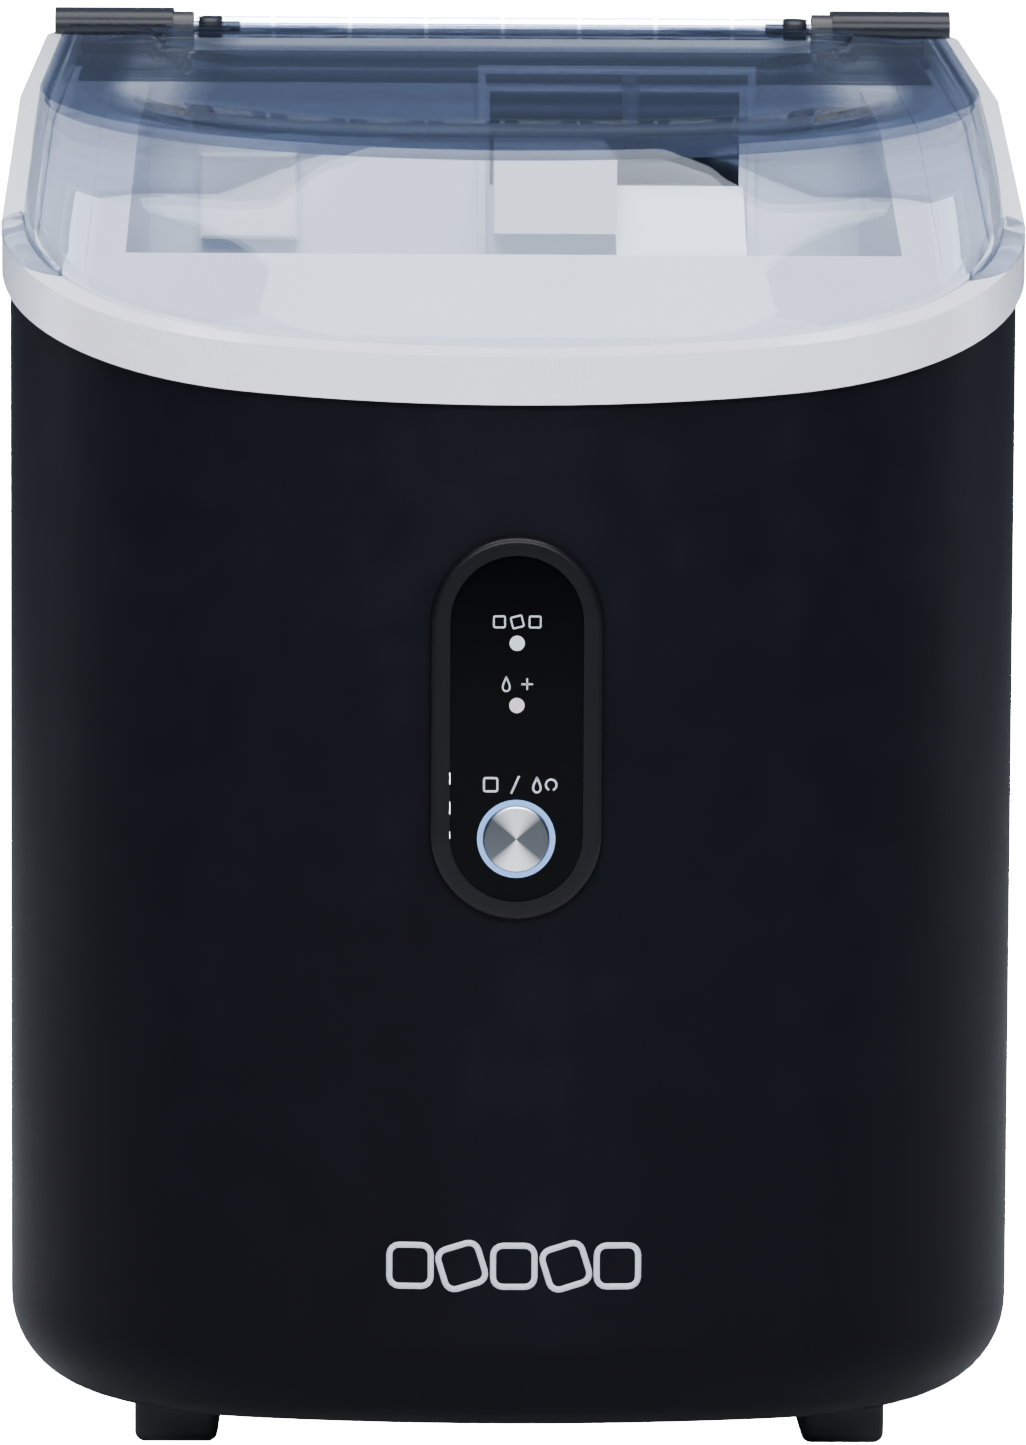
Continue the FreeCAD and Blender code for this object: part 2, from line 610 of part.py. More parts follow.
evaporator = rod(barrel_radius, on_axis(auger_floor), on_axis(auger_top))
evaporator = evaporator.cut(rod(barrel_inner, on_axis(auger_floor + 4), on_axis(auger_top + 1)))
evaporator = evaporator.cut(rod(shaft_radius + shaft_fit, on_axis(auger_floor - 1), on_axis(auger_floor + 5)))
coil_turns = 8
coil_radius = 3
coil_pitch = 9
coil_low = auger_floor + 30
for i in range(coil_turns):
    ring = Part.makeTorus(barrel_radius + coil_radius - 0.4, coil_radius, on_axis(coil_low + i * coil_pitch))
    evaporator = evaporator.fuse(ring)
evaporator = evaporator.common(behind(well_rear + liner_wall + 1, plate_y - dim("rearPanelWall") - 1))
feature("evaporator_barrel", evaporator)

blade_radius = barrel_inner - 1.0
blade_pitch = 24
blade_high = auger_top - auger_floor - 40
mid = (blade_radius + shaft_radius) / 2
helix = Part.makeHelix(blade_pitch, blade_high, mid)
reach = (blade_radius - shaft_radius) / 2
root = mid - reach - 0.8
blade_half = 1.2
section = Part.makePolygon([Vector(root, 0, -blade_half), Vector(mid + reach, 0, -blade_half),
                            Vector(mid + reach, 0, blade_half), Vector(root, 0, blade_half),
                            Vector(root, 0, -blade_half)])
blade = Part.Wire(helix).makePipeShell([Part.Wire(section)], True, True)
blade.translate(on_axis(auger_floor + 12))
gear_high = auger_floor - 20
gear_low = gear_high - 10
auger = rod(shaft_radius, on_axis(gear_low - 1), on_axis(auger_top - 14)).fuse(blade)
feature("auger", auger)


def gear(teeth, module, low, high, centre, bore, turn):
    """Spur gear with straight-sided teeth; turn is the direction of its first tooth in degrees."""
    pitch_r = teeth * module / 2
    root = pitch_r - 1.25 * module
    tip = pitch_r + 0.85 * module
    step = 360.0 / teeth
    shares = ((root, -0.33), (tip, -0.11), (tip, 0.11), (root, 0.33))
    points = []
    for k in range(teeth):
        for r, share in shares:
            a = math.radians(turn + step * (k + share))
            points.append(Vector(centre.x + r * math.cos(a), centre.y + r * math.sin(a), low))
    solid = Part.Face(Part.makePolygon(points + [points[0]])).extrude(Vector(0, 0, high - low))
    return solid.cut(rod(bore, Vector(centre.x, centre.y, low - 1), Vector(centre.x, centre.y, high + 1)))


gear_module = dim("gearModule")
gear_teeth = 30
pinion_teeth = 12
spacing = gear_module * (gear_teeth + pinion_teeth) / 2
pinion_x = auger_x - spacing
feature("drive_gear", gear(gear_teeth, gear_module, gear_low, gear_high, auger_at, shaft_radius, 180))
pinion_shaft = 3
case_low = gear_low - 6
pinion = gear(pinion_teeth, gear_module, gear_low + 0.5, gear_high - 0.5, Vector(pinion_x, auger_y, 0), pinion_shaft,
              180.0 / pinion_teeth)
pinion = pinion.fuse(rod(pinion_shaft, Vector(pinion_x, auger_y, case_low), Vector(pinion_x, auger_y, gear_high)))
feature("motor_pinion", pinion)

gear_room = gear_module * (gear_teeth / 2 + 1) + 0.4
case_front = auger_y - gear_room - 1
case_rear = auger_y + gear_room + 1
case_left = pinion_x - gear_module * (pinion_teeth / 2 + 1) - 2.8
case_right = auger_x + gear_room + 2
case = box(case_left, case_front, case_low, case_right, case_rear, auger_floor)
case = case.cut(box(case_left + 2, case_front + 1, gear_low - 3, case_right - 2, case_rear - 1, gear_high + 3))
case = case.cut(rod(shaft_radius + shaft_fit, on_axis(gear_high), on_axis(auger_floor + 1)))
case = case.cut(rod(pinion_shaft + shaft_fit, Vector(pinion_x, auger_y, case_low - 3),
                    Vector(pinion_x, auger_y, gear_low)))
feature("gear_case", case)
motor_radius = 18
motor_foot = motor_radius + 2
motor = rod(motor_radius, Vector(pinion_x, auger_y, floor_top), Vector(pinion_x, auger_y, case_low - 0.2))
feature("auger_motor", motor.fuse(box(pinion_x - motor_foot, auger_y - motor_foot, floor_top,
                                      pinion_x + motor_foot, auger_y + motor_foot, floor_top + 3)))

# spout over the well, its frame, and the sensing cover beside it
spout_left = window_left + 1
spout_right = window_right
spout_low = auger_top - 2
spout_front = well_rear - 24
frame_wall = 2.0
frame_top = profile_z(well_rear, trim_high) - 1.2
frame_side = 4
frame = box(spout_left - frame_side, well_rear - 3, spout_low - 2, spout_right + frame_side, well_rear, frame_top)
frame = frame.cut(box(spout_left - frame_side + frame_wall, well_rear - 9, spout_low - 9,
                      spout_right + frame_side - frame_wall, well_rear + 9, frame_top - frame_wall))
feature("spout_frame", frame)
ramp_left = spout_left + 34
spout = box(spout_left, spout_front, spout_low + 6, ramp_left - 3, well_rear, spout_low + 31)
wedge = Part.Face(Part.makePolygon([Vector(ramp_left - 14, 0, spout_low + 40), Vector(ramp_left, 0, spout_low + 40),
                                    Vector(ramp_left, 0, spout_low + 21), Vector(ramp_left - 14, 0, spout_low + 40)]))
spout = spout.cut(wedge.extrude(Vector(0, ample, 0)))
ramp = Part.Face(Part.makePolygon([Vector(0, well_rear, spout_low + 18), Vector(0, spout_front - 4, spout_low - 1),
                                   Vector(0, spout_front - 4, spout_low - 3), Vector(0, well_rear, spout_low + 1),
                                   Vector(0, well_rear, spout_low + 18)]))
ramp = ramp.extrude(Vector(spout_right - ramp_left + 4, 0, 0)).translated(Vector(ramp_left - 3, 0, 0))
feature("ice_spout", spout.fuse(ramp).removeSplitter())
head = rod(barrel_radius - 0.5, on_axis(auger_top + 0.2), on_axis(auger_top + 16))
head = head.fuse(box(auger_x - 18, well_rear + liner_wall + 1, auger_top + 2, auger_x + 18, auger_y, auger_top + 16))
head = head.cut(rod(14, on_axis(auger_top - 1), on_axis(auger_top + 12)))
feature("extruder_head", head)
sensor_radius = 2.2
sensor_x = ramp_left + 1
sensor_y = well_rear - sensor_radius - 0.1
feature("ice_sensor", rod(sensor_radius, Vector(sensor_x, sensor_y, spout_low + 34),
                          Vector(sensor_x, sensor_y, frame_top - frame_wall)))
cover_left = -well + 13
cover_width = 25
cover_depth = 9
sensor_cover = box(cover_left, well_rear - cover_depth, spout_low + 4, cover_left + cover_width, well_rear, spout_low + 26)
cover_edges = [e for e in sensor_cover.Edges if e.BoundBox.YMax < well_rear - cover_depth + 1]
feature("sensor_cover", sensor_cover.makeFillet(1.5, cover_edges))

# refrigeration: compressor, condenser, fan, drier and pipes
compressor_radius = dim("compressorDiameter") / 2
compressor_at = Vector(-half_width + 72, frontY + 88, floor_top)
compressor = rod(compressor_radius, compressor_at + Vector(0, 0, 6), compressor_at + Vector(0, 0, dim("compressorHeight")))
rims = [e for e in compressor.Edges if isinstance(e.Curve, Part.Circle)]
compressor = compressor.makeFillet(18, rims)
legs = 3
for i in range(legs):
    a = math.radians(90 + 360.0 / legs * i)
    leg = compressor_at + Vector(math.cos(a), math.sin(a), 0) * (0.74 * compressor_radius)
    compressor = compressor.fuse(rod(7, leg, leg + Vector(0, 0, 14)))
feature("compressor", compressor)
fan_radius = dim("fanDiameter") / 2
fan_wall = 3
fan_half = fan_radius + fan_wall
fan_z = floor_top + fan_half + 1
coil_top = fan_z + fan_half + 1
coil_x = half_width - 36
coil_depth = 18
condenser = box(coil_x, fan_y - fan_half, floor_top, coil_x + coil_depth, fan_y + fan_half, coil_top)
fins = 14
fin_pitch = 2 * fan_half / fins
fin_gap = fin_pitch / 4
for i in range(fins):
    y = fan_y - fan_half + (i + 0.5) * fin_pitch
    condenser = condenser.cut(box(coil_x + 2, y - fin_gap, floor_top + 4, coil_x + coil_depth + 1, y + fin_gap, coil_top - 4))
feature("condenser", condenser)
shroud_x = coil_x - dim("fanDepth") - 1


def on_fan(along):
    """The point of the fan's axis at a distance behind the shroud's inner face."""
    return Vector(shroud_x + along, fan_y, fan_z)


hub_radius = 14
hub_start = 7
hub_end = dim("fanDepth") - 3
axle = 1.5
shroud = box(shroud_x, fan_y - fan_half, floor_top, shroud_x + dim("fanDepth"), fan_y + fan_half, coil_top)
shroud = shroud.cut(rod(fan_radius, on_fan(-1), on_fan(dim("fanDepth") + 1)))
arms = 4
for i in range(arms):
    spoke = box(shroud_x, fan_y - 3, fan_z, shroud_x + 3, fan_y + 3, fan_z + fan_radius + 1)
    spoke.rotate(on_fan(0), Vector(1, 0, 0), 45 + 360.0 / arms * i)
    shroud = shroud.fuse(spoke)
shroud = shroud.fuse(rod(hub_radius, on_fan(0), on_fan(hub_start - 1)))
shroud = shroud.fuse(rod(axle, on_fan(hub_start - 2), on_fan(hub_end - 4)))
feature("fan_shroud", shroud.removeSplitter())
hub = rod(hub_radius, on_fan(hub_start), on_fan(hub_end))
vanes = 7
for i in range(vanes):
    vane = box(shroud_x + hub_start + 1, fan_y - 1, fan_z + hub_radius - 2,
               shroud_x + hub_end - 1, fan_y + 1, fan_z + fan_radius - 2)
    vane.rotate(on_fan((hub_start + hub_end) / 2), Vector(0, 0, 1), 38)
    vane.rotate(on_fan(0), Vector(1, 0, 0), 360.0 / vanes * i)
    hub = hub.fuse(vane)
hub = hub.cut(rod(axle + shaft_fit, on_fan(0), on_fan(hub_end - 3)))
feature("fan_rotor", hub)
drier_at = Vector(half_width - 92, frontY + 50, floor_top + 46)
drier_length = 60
drier = rod(9, drier_at, drier_at + Vector(0, 0, drier_length))
drier = drier.makeFillet(4, [e for e in drier.Edges if isinstance(e.Curve, Part.Circle)])
feature("filter_drier", drier)
pipe_radius = 2.4
coil_in = Vector(coil_x + coil_depth / 2, fan_y - fan_half, coil_top - 18)
feature("discharge_pipe", pipe([drier_at + Vector(0, 0, drier_length), drier_at + Vector(0, 0, drier_length + 16),
                                drier_at + Vector(24, 0, drier_length + 18),
                                Vector(coil_in.x - 5, coil_in.y - 30, coil_top + 14),
                                coil_in - Vector(0, 20, 0), coil_in], pipe_radius))

suction_top = compressor_at + Vector(18, 0, dim("compressorHeight"))
feature("suction_pipe", pipe([suction_top, suction_top + Vector(0, 0, 18), suction_top + Vector(22, 32, 22),
                              Vector(auger_x - 20, suction_top.y + 82, suction_top.z + 24),
                              Vector(auger_x, well_rear - 22, coil_low),
                              Vector(auger_x, well_rear + liner_wall + 1, coil_low)], pipe_radius + 0.6))

# water: tank, float, pump and hoses
tank_floor = floor_top + 62
tank_top = well_floor - liner_wall - 4
tank_left = -half_width + 24
tank_right = tank_left + 62
tank_rear = well_rear - 2
tank_front = tank_rear - 72
tank_wall = 2
tank = box(tank_left, tank_front, tank_floor, tank_right, tank_rear, tank_top)
tank = tank.makeFillet(6, [e for e in tank.Edges if e.BoundBox.ZLength > 20])
tank = tank.cut(box(tank_left + tank_wall, tank_front + tank_wall, tank_floor + tank_wall,
                    tank_right - tank_wall, tank_rear - tank_wall, tank_top + 1))
feature("water_tank", tank)
stem_radius = 2
bob_radius = 11
bob_height = 14


def on_stem(z):
    """The point of the float's stem at a height."""
    return Vector(tank_left + 18, tank_front + 36, z)


float_low = tank_floor + 2 * tank_wall
feature("float_stem", rod(stem_radius, on_stem(tank_floor + tank_wall), on_stem(tank_top)))
bob = rod(bob_radius, on_stem(float_low), on_stem(float_low + bob_height))
bob = bob.makeFillet(2, [e for e in bob.Edges if isinstance(e.Curve, Part.Circle)])
bob = bob.cut(rod(stem_radius + 2 * shaft_fit, on_stem(float_low - 1), on_stem(float_low + bob_height + 1)))
feature("float_bob", bob)
pump_at = Vector(tank_left + 36, tank_front + 38, floor_top)
pump_high = 34
nozzle_high = pump_high + 10
pump = rod(16, pump_at, pump_at + Vector(0, 0, pump_high))
pump = pump.fuse(rod(4, pump_at + Vector(0, 0, pump_high - 4), pump_at + Vector(0, 0, nozzle_high)))
feature("water_pump", pump)
barrel_side = auger_x - barrel_radius
feed_z = auger_floor + 20
feature("supply_hose", pipe([pump_at + Vector(0, 0, nozzle_high + 0.2), pump_at + Vector(0, 0, nozzle_high + 8),
                             pump_at + Vector(26, 14, nozzle_high + 10),
                             Vector(tank_right + 6, tank_rear - 2, floor_top + 66),
                             Vector(tank_right + 7, auger_y - 22, feed_z - 4),
                             Vector(barrel_side - 16, auger_y, feed_z), Vector(barrel_side, auger_y, feed_z)], 3.2))
drain_start = plate_y - 88
feature("drain_hose", pipe([Vector(drain_x, drain_start, floor_top + 50), Vector(drain_x, drain_start + 6, drain_z - 1),
                            Vector(drain_x, drain_start + 30, drain_z),
                            Vector(drain_x, plate_y - bung_depth - 0.4, drain_z)], 4))
board_front = well_rear + liner_wall
board_left = half_width - 64
board_low = well_floor - 8
main_board = box(board_left, board_front, board_low, board_left + 36, board_front + 2, board_low + 100)
parts_on_board = [(6, 8, 12, 12), (22, 10, 10, 18), (6, 34, 20, 10), (26, 50, 8, 8), (6, 64, 12, 22)]
for x, z, w, tall in parts_on_board:
    main_board = main_board.fuse(box(board_left + x, board_front + 1, board_low + z,
                                     board_left + x + w, board_front + 10, board_low + z + tall))
feature("main_board", main_board)


def screw(at, along):
    """Pan-head screw: its head outside, its shank running along the given direction."""
    head_part = rod(2 * screw_shank, at, at - along * 1.8)
    head_part = head_part.makeFillet(1.0, [e for e in head_part.Edges if isinstance(e.Curve, Part.Circle)
                                           and (e.CenterOfMass - at).dot(along) < -1])
    return head_part.fuse(rod(screw_shank, at, at + along * 8))


feature("rear_screws", Part.makeCompound([screw(at, Vector(0, -1, 0)) for at in screw_places]))

# ---------------------------------------------------------------- check and write
doc.recompute()
for obj in doc.Objects:
    if "Invalid" in obj.State or "Error" in obj.State:
        raise RuntimeError("failed object: " + obj.Name)
for obj in parts:
    if obj.Shape.isNull() or not obj.Shape.isValid() or not obj.Shape.Solids:
        raise RuntimeError("bad shape: " + obj.Label)
os.makedirs("parts", exist_ok=True)
for obj in parts:
    obj.Shape.exportStep("parts/%s.step" % obj.Label)
print(len(parts), "parts written")
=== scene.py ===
import bpy
import bmesh
import json
import math
from mathutils import Matrix, Vector


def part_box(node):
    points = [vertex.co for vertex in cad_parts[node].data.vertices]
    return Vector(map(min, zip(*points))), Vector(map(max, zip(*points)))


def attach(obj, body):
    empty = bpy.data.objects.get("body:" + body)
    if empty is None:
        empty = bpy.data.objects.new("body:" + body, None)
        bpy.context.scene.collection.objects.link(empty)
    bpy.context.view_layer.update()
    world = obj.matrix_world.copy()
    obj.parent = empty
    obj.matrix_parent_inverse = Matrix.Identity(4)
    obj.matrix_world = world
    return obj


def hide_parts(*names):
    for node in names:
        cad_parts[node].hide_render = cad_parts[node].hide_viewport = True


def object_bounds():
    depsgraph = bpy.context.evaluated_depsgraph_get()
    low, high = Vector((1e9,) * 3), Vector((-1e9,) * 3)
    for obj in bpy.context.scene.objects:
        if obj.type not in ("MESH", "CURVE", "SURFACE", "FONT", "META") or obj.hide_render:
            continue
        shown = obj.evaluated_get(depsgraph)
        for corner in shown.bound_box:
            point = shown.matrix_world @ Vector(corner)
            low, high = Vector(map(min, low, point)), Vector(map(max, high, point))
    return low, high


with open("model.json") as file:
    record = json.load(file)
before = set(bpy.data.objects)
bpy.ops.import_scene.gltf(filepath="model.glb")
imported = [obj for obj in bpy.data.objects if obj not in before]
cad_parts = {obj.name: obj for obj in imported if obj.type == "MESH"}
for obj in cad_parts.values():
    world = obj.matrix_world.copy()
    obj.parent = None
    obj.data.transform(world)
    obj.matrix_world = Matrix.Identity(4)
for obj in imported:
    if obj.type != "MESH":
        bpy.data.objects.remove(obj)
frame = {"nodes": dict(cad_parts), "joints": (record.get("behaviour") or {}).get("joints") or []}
cadLow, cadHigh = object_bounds()
nodes = frame["nodes"]
print("frame loaded with", len(nodes), "nodes")


# shader node groups: only colours, masks and heights leave them

def newGroup(name, inputs, outputs):
    group = bpy.data.node_groups.new(name, "ShaderNodeTree")
    for label, kind, value in inputs:
        socket = group.interface.new_socket(label, in_out="INPUT", socket_type=kind)
        if value is not None:
            socket.default_value = value
    for label, kind in outputs:
        group.interface.new_socket(label, in_out="OUTPUT", socket_type=kind)
    return group, group.nodes.new("NodeGroupInput"), group.nodes.new("NodeGroupOutput")


def mathNode(tree, operation, first, second=None):
    node = tree.nodes.new("ShaderNodeMath")
    node.operation = operation
    for slot, value in enumerate((first, second)):
        if value is None:
            continue
        if isinstance(value, (int, float)):
            node.inputs[slot].default_value = value
        else:
            tree.links.new(value, node.inputs[slot])
    return node.outputs[0]


def colourMix(tree, factor, first, second):
    mix = tree.nodes.new("ShaderNodeMix")
    mix.data_type = "RGBA"
    tree.links.new(factor, mix.inputs["Factor"])
    for label, value in (("A", first), ("B", second)):
        if isinstance(value, tuple):
            mix.inputs[label].default_value = (*value, 1)
        else:
            tree.links.new(value, mix.inputs[label])
    return mix.outputs["Result"]


def rangeNode(tree, value, fromRange=None, toRange=None):
    node = tree.nodes.new("ShaderNodeMapRange")
    tree.links.new(value, node.inputs["Value"])
    if fromRange:
        node.inputs["From Min"].default_value, node.inputs["From Max"].default_value = fromRange
    if toRange:
        node.inputs["To Min"].default_value, node.inputs["To Max"].default_value = toRange
    return node


def noiseNode(tree, place, scale, detail=None):
    noise = tree.nodes.new("ShaderNodeTexNoise")
    if detail is not None:
        noise.inputs["Detail"].default_value = detail
    tree.links.new(place.outputs["Object"], noise.inputs["Vector"])
    tree.links.new(scale, noise.inputs["Scale"])
    return noise.outputs["Fac"]


def buildMouldGrain():
    group, start, end = newGroup(
        "mouldGrain",
        [("Scale", "NodeSocketFloat", 900.0), ("Blotch Scale", "NodeSocketFloat", 14.0),
         ("Dark", "NodeSocketColor", (0, 0, 0, 1)), ("Light", "NodeSocketColor", (1, 1, 1, 1)),
         ("Smooth", "NodeSocketFloat", 0.3), ("Rough", "NodeSocketFloat", 0.5)],
        [("Color", "NodeSocketColor"), ("Roughness", "NodeSocketFloat"), ("Height", "NodeSocketFloat")])
    links = group.links
    place = group.nodes.new("ShaderNodeTexCoord")
    fine = noiseNode(group, place, start.outputs["Scale"], 3)
    broad = noiseNode(group, place, start.outputs["Blotch Scale"], 4)
    fineShare = 0.35
    blend = mathNode(group, "ADD", mathNode(group, "MULTIPLY", fine, fineShare),
                     mathNode(group, "MULTIPLY", broad, 1 - fineShare))
    gloss = rangeNode(group, blend, (0.3, 0.7))
    links.new(start.outputs["Smooth"], gloss.inputs["To Min"])
    links.new(start.outputs["Rough"], gloss.inputs["To Max"])
    links.new(colourMix(group, blend, start.outputs["Dark"], start.outputs["Light"]), end.inputs["Color"])
    links.new(gloss.outputs["Result"], end.inputs["Roughness"])
    links.new(fine, end.inputs["Height"])
    return group


def buildEdgeWear():
    group, start, end = newGroup(
        "edgeWear",
        [("Color", "NodeSocketColor", (0, 0, 0, 1)), ("Worn", "NodeSocketColor", (1, 1, 1, 1)),
         ("Amount", "NodeSocketFloat", 0.3), ("Scale", "NodeSocketFloat", 60.0)],
        [("Color", "NodeSocketColor"), ("Mask", "NodeSocketFloat")])
    links = group.links
    shape = group.nodes.new("ShaderNodeNewGeometry")
    place = group.nodes.new("ShaderNodeTexCoord")
    noise = noiseNode(group, place, start.outputs["Scale"])
    edge = rangeNode(group, shape.outputs["Pointiness"], (0.52, 0.62))   # sharp outer edges only
    mask = mathNode(group, "MULTIPLY", mathNode(group, "MULTIPLY", edge.outputs["Result"], noise),
                    start.outputs["Amount"])
    links.new(colourMix(group, mask, start.outputs["Color"], start.outputs["Worn"]), end.inputs["Color"])
    links.new(mask, end.inputs["Mask"])
    return group


mouldGrain = buildMouldGrain()
edgeWear = buildEdgeWear()
print("shader groups built")


# materials

def newMaterial(name):
    material = bpy.data.materials.new(name)
    material.use_nodes = True
    tree = material.node_tree
    return material, tree, tree.nodes["Principled BSDF"]


def groupNode(tree, group, values):
    node = tree.nodes.new("ShaderNodeGroup")
    node.node_tree = group
    for label, value in values.items():
        node.inputs[label].default_value = value
    return node


def bumpFrom(tree, height, strength, distance):
    bump = tree.nodes.new("ShaderNodeBump")
    bump.inputs["Strength"].default_value = strength
    bump.inputs["Distance"].default_value = distance
    tree.links.new(height, bump.inputs["Height"])
    return bump


def moulded(name, look):
    material, tree, shader = newMaterial(name)
    grain = groupNode(tree, mouldGrain, {
        "Scale": look["grain"], "Blotch Scale": look.get("blotch", 14.0), "Dark": (*look["dark"], 1),
        "Light": (*look["light"], 1), "Smooth": look["smooth"], "Rough": look["rough"]})
    wear = groupNode(tree, edgeWear, {
        "Worn": (*look.get("worn", look["light"]), 1), "Amount": look.get("wear", 0.3), "Scale": 80.0})
    tree.links.new(grain.outputs["Color"], wear.inputs["Color"])
    tree.links.new(wear.outputs["Color"], shader.inputs["Base Color"])
    tree.links.new(grain.outputs["Roughness"], shader.inputs["Roughness"])
    bump = bumpFrom(tree, grain.outputs["Height"], look.get("bump", 0.2), look.get("depth", 0.0001))
    tree.links.new(bump.outputs["Normal"], shader.inputs["Normal"])
    shader.inputs["Metallic"].default_value = look.get("metal", 0.0)
    shader.inputs["Specular IOR Level"].default_value = look.get("specular", 0.5)
    shader.inputs["Coat Weight"].default_value = look.get("coat", 0.0)
    shader.inputs["Coat Roughness"].default_value = look.get("coatRough", 0.08)
    if "glow" in look:
        shader.inputs["Emission Color"].default_value = (*look["glow"], 1)
        shader.inputs["Emission Strength"].default_value = look["glowPower"]
    return material


def clearPlastic(name, look):
    material, tree, shader = newMaterial(name)
    grain = groupNode(tree, mouldGrain, {
        "Scale": look["grain"], "Blotch Scale": 9.0, "Dark": (*look["dark"], 1), "Light": (*look["light"], 1),
        "Smooth": look["smooth"], "Rough": look["rough"]})
    bump = bumpFrom(tree, grain.outputs["Height"], 0.04, 0.0001)
    tree.links.new(grain.outputs["Roughness"], shader.inputs["Roughness"])
    tree.links.new(bump.outputs["Normal"], shader.inputs["Normal"])
    shader.inputs["Base Color"].default_value = (*look["sheen"], 1)
    shader.inputs["Metallic"].default_value = 1.0
    # painted shade: the edge colour darkens the see-through colour where the plastic is seen at grazing angles
    # (facing) and along sharp creases (pointiness)
    facing = tree.nodes.new("ShaderNodeLayerWeight")
    rim = mathNode(tree, "POWER", facing.outputs["Facing"], look["grazingShadePower"])
    shape = tree.nodes.new("ShaderNodeNewGeometry")
    ridge = rangeNode(tree, shape.outputs["Pointiness"], (0.52, 0.60), (0.0, look["ridge"]))
    place = tree.nodes.new("ShaderNodeTexCoord")
    parts = tree.nodes.new("ShaderNodeSeparateXYZ")
    tree.links.new(place.outputs["Normal"], parts.inputs["Vector"])
    # faces that lie nearly flat are darkened towards the top colour, a painted shade for the darker look of
    # the top panel
    level = rangeNode(tree, mathNode(tree, "ABSOLUTE", parts.outputs["Z"]), look["flatness"])
    smokeAndFlatShade = colourMix(tree, level.outputs["Result"], grain.outputs["Color"], look["top"])
    smokeAndPaintedShade = colourMix(tree, mathNode(tree, "MAXIMUM", rim, ridge.outputs["Result"]), smokeAndFlatShade, look["edge"])
    through = tree.nodes.new("ShaderNodeBsdfTransparent")
    tree.links.new(smokeAndPaintedShade, through.inputs["Color"])
    mirror = tree.nodes.new("ShaderNodeFresnel")
    mirror.inputs["IOR"].default_value = look["ior"]
    seen = tree.nodes.new("ShaderNodeMixShader")
    share = mathNode(tree, "MULTIPLY", mirror.outputs["Fac"], look["mirror"])
    tree.links.new(mathNode(tree, "ADD", share, look["body"]), seen.inputs["Fac"])
    tree.links.new(through.outputs["BSDF"], seen.inputs[1])
    tree.links.new(shader.outputs["BSDF"], seen.inputs[2])
    # shadow and diffuse rays pass straight through, so that the well behind stays bright
    light = tree.nodes.new("ShaderNodeBsdfTransparent")
    light.inputs["Color"].default_value = (*look["light"], 1)
    path = tree.nodes.new("ShaderNodeLightPath")
    mix = tree.nodes.new("ShaderNodeMixShader")
    tree.links.new(mathNode(tree, "MAXIMUM", path.outputs["Is Shadow Ray"], path.outputs["Is Diffuse Ray"]),
                   mix.inputs["Fac"])
    tree.links.new(seen.outputs["Shader"], mix.inputs[1])
    tree.links.new(light.outputs["BSDF"], mix.inputs[2])
    tree.links.new(mix.outputs["Shader"], tree.nodes["Material Output"].inputs["Surface"])
    return material


def spunMetal(name, look):
    material, tree, shader = newMaterial(name)
    place = tree.nodes.new("ShaderNodeTexCoord")
    centre = tree.nodes.new("ShaderNodeMapping")
    centre.inputs["Location"].default_value = (0, 0, -look["height"])
    tree.links.new(place.outputs["Object"], centre.inputs["Vector"])
    parts = tree.nodes.new("ShaderNodeSeparateXYZ")
    tree.links.new(centre.outputs["Vector"], parts.inputs["Vector"])
    squares = mathNode(tree, "ADD", mathNode(tree, "MULTIPLY", parts.outputs["X"], parts.outputs["X"]),
                       mathNode(tree, "MULTIPLY", parts.outputs["Z"], parts.outputs["Z"]))
    radius = mathNode(tree, "SQRT", squares)
    rings = tree.nodes.new("ShaderNodeTexNoise")
    rings.noise_dimensions = "1D"
    rings.inputs["Scale"].default_value = look["ringScale"]
    rings.inputs["Detail"].default_value = 4
    tree.links.new(radius, rings.inputs["W"])
    # painted highlight: the base colour is bright in a fan above and below the centre and dark at the sides,
    # standing in for the reflection of the spun finish
    angle = mathNode(tree, "ARCTAN2", parts.outputs["X"], parts.outputs["Z"])
    fan = mathNode(tree, "ABSOLUTE", mathNode(tree, "COSINE", angle))
    bright = tree.nodes.new("ShaderNodeValToRGB")
    for element, spot, colour in zip(bright.color_ramp.elements, look["fan"], (look["dark"], look["light"])):
        element.position = spot
        element.color = (*colour, 1)
    tree.links.new(fan, bright.inputs["Fac"])
    tree.links.new(bright.outputs["Color"], shader.inputs["Base Color"])
    gloss = rangeNode(tree, rings.outputs["Fac"], None, (look["smooth"], look["rough"]))
    tree.links.new(gloss.outputs["Result"], shader.inputs["Roughness"])
    bump = bumpFrom(tree, rings.outputs["Fac"], 0.35, 0.00005)
    tree.links.new(bump.outputs["Normal"], shader.inputs["Normal"])
    shader.inputs["Metallic"].default_value = 1.0
    return material


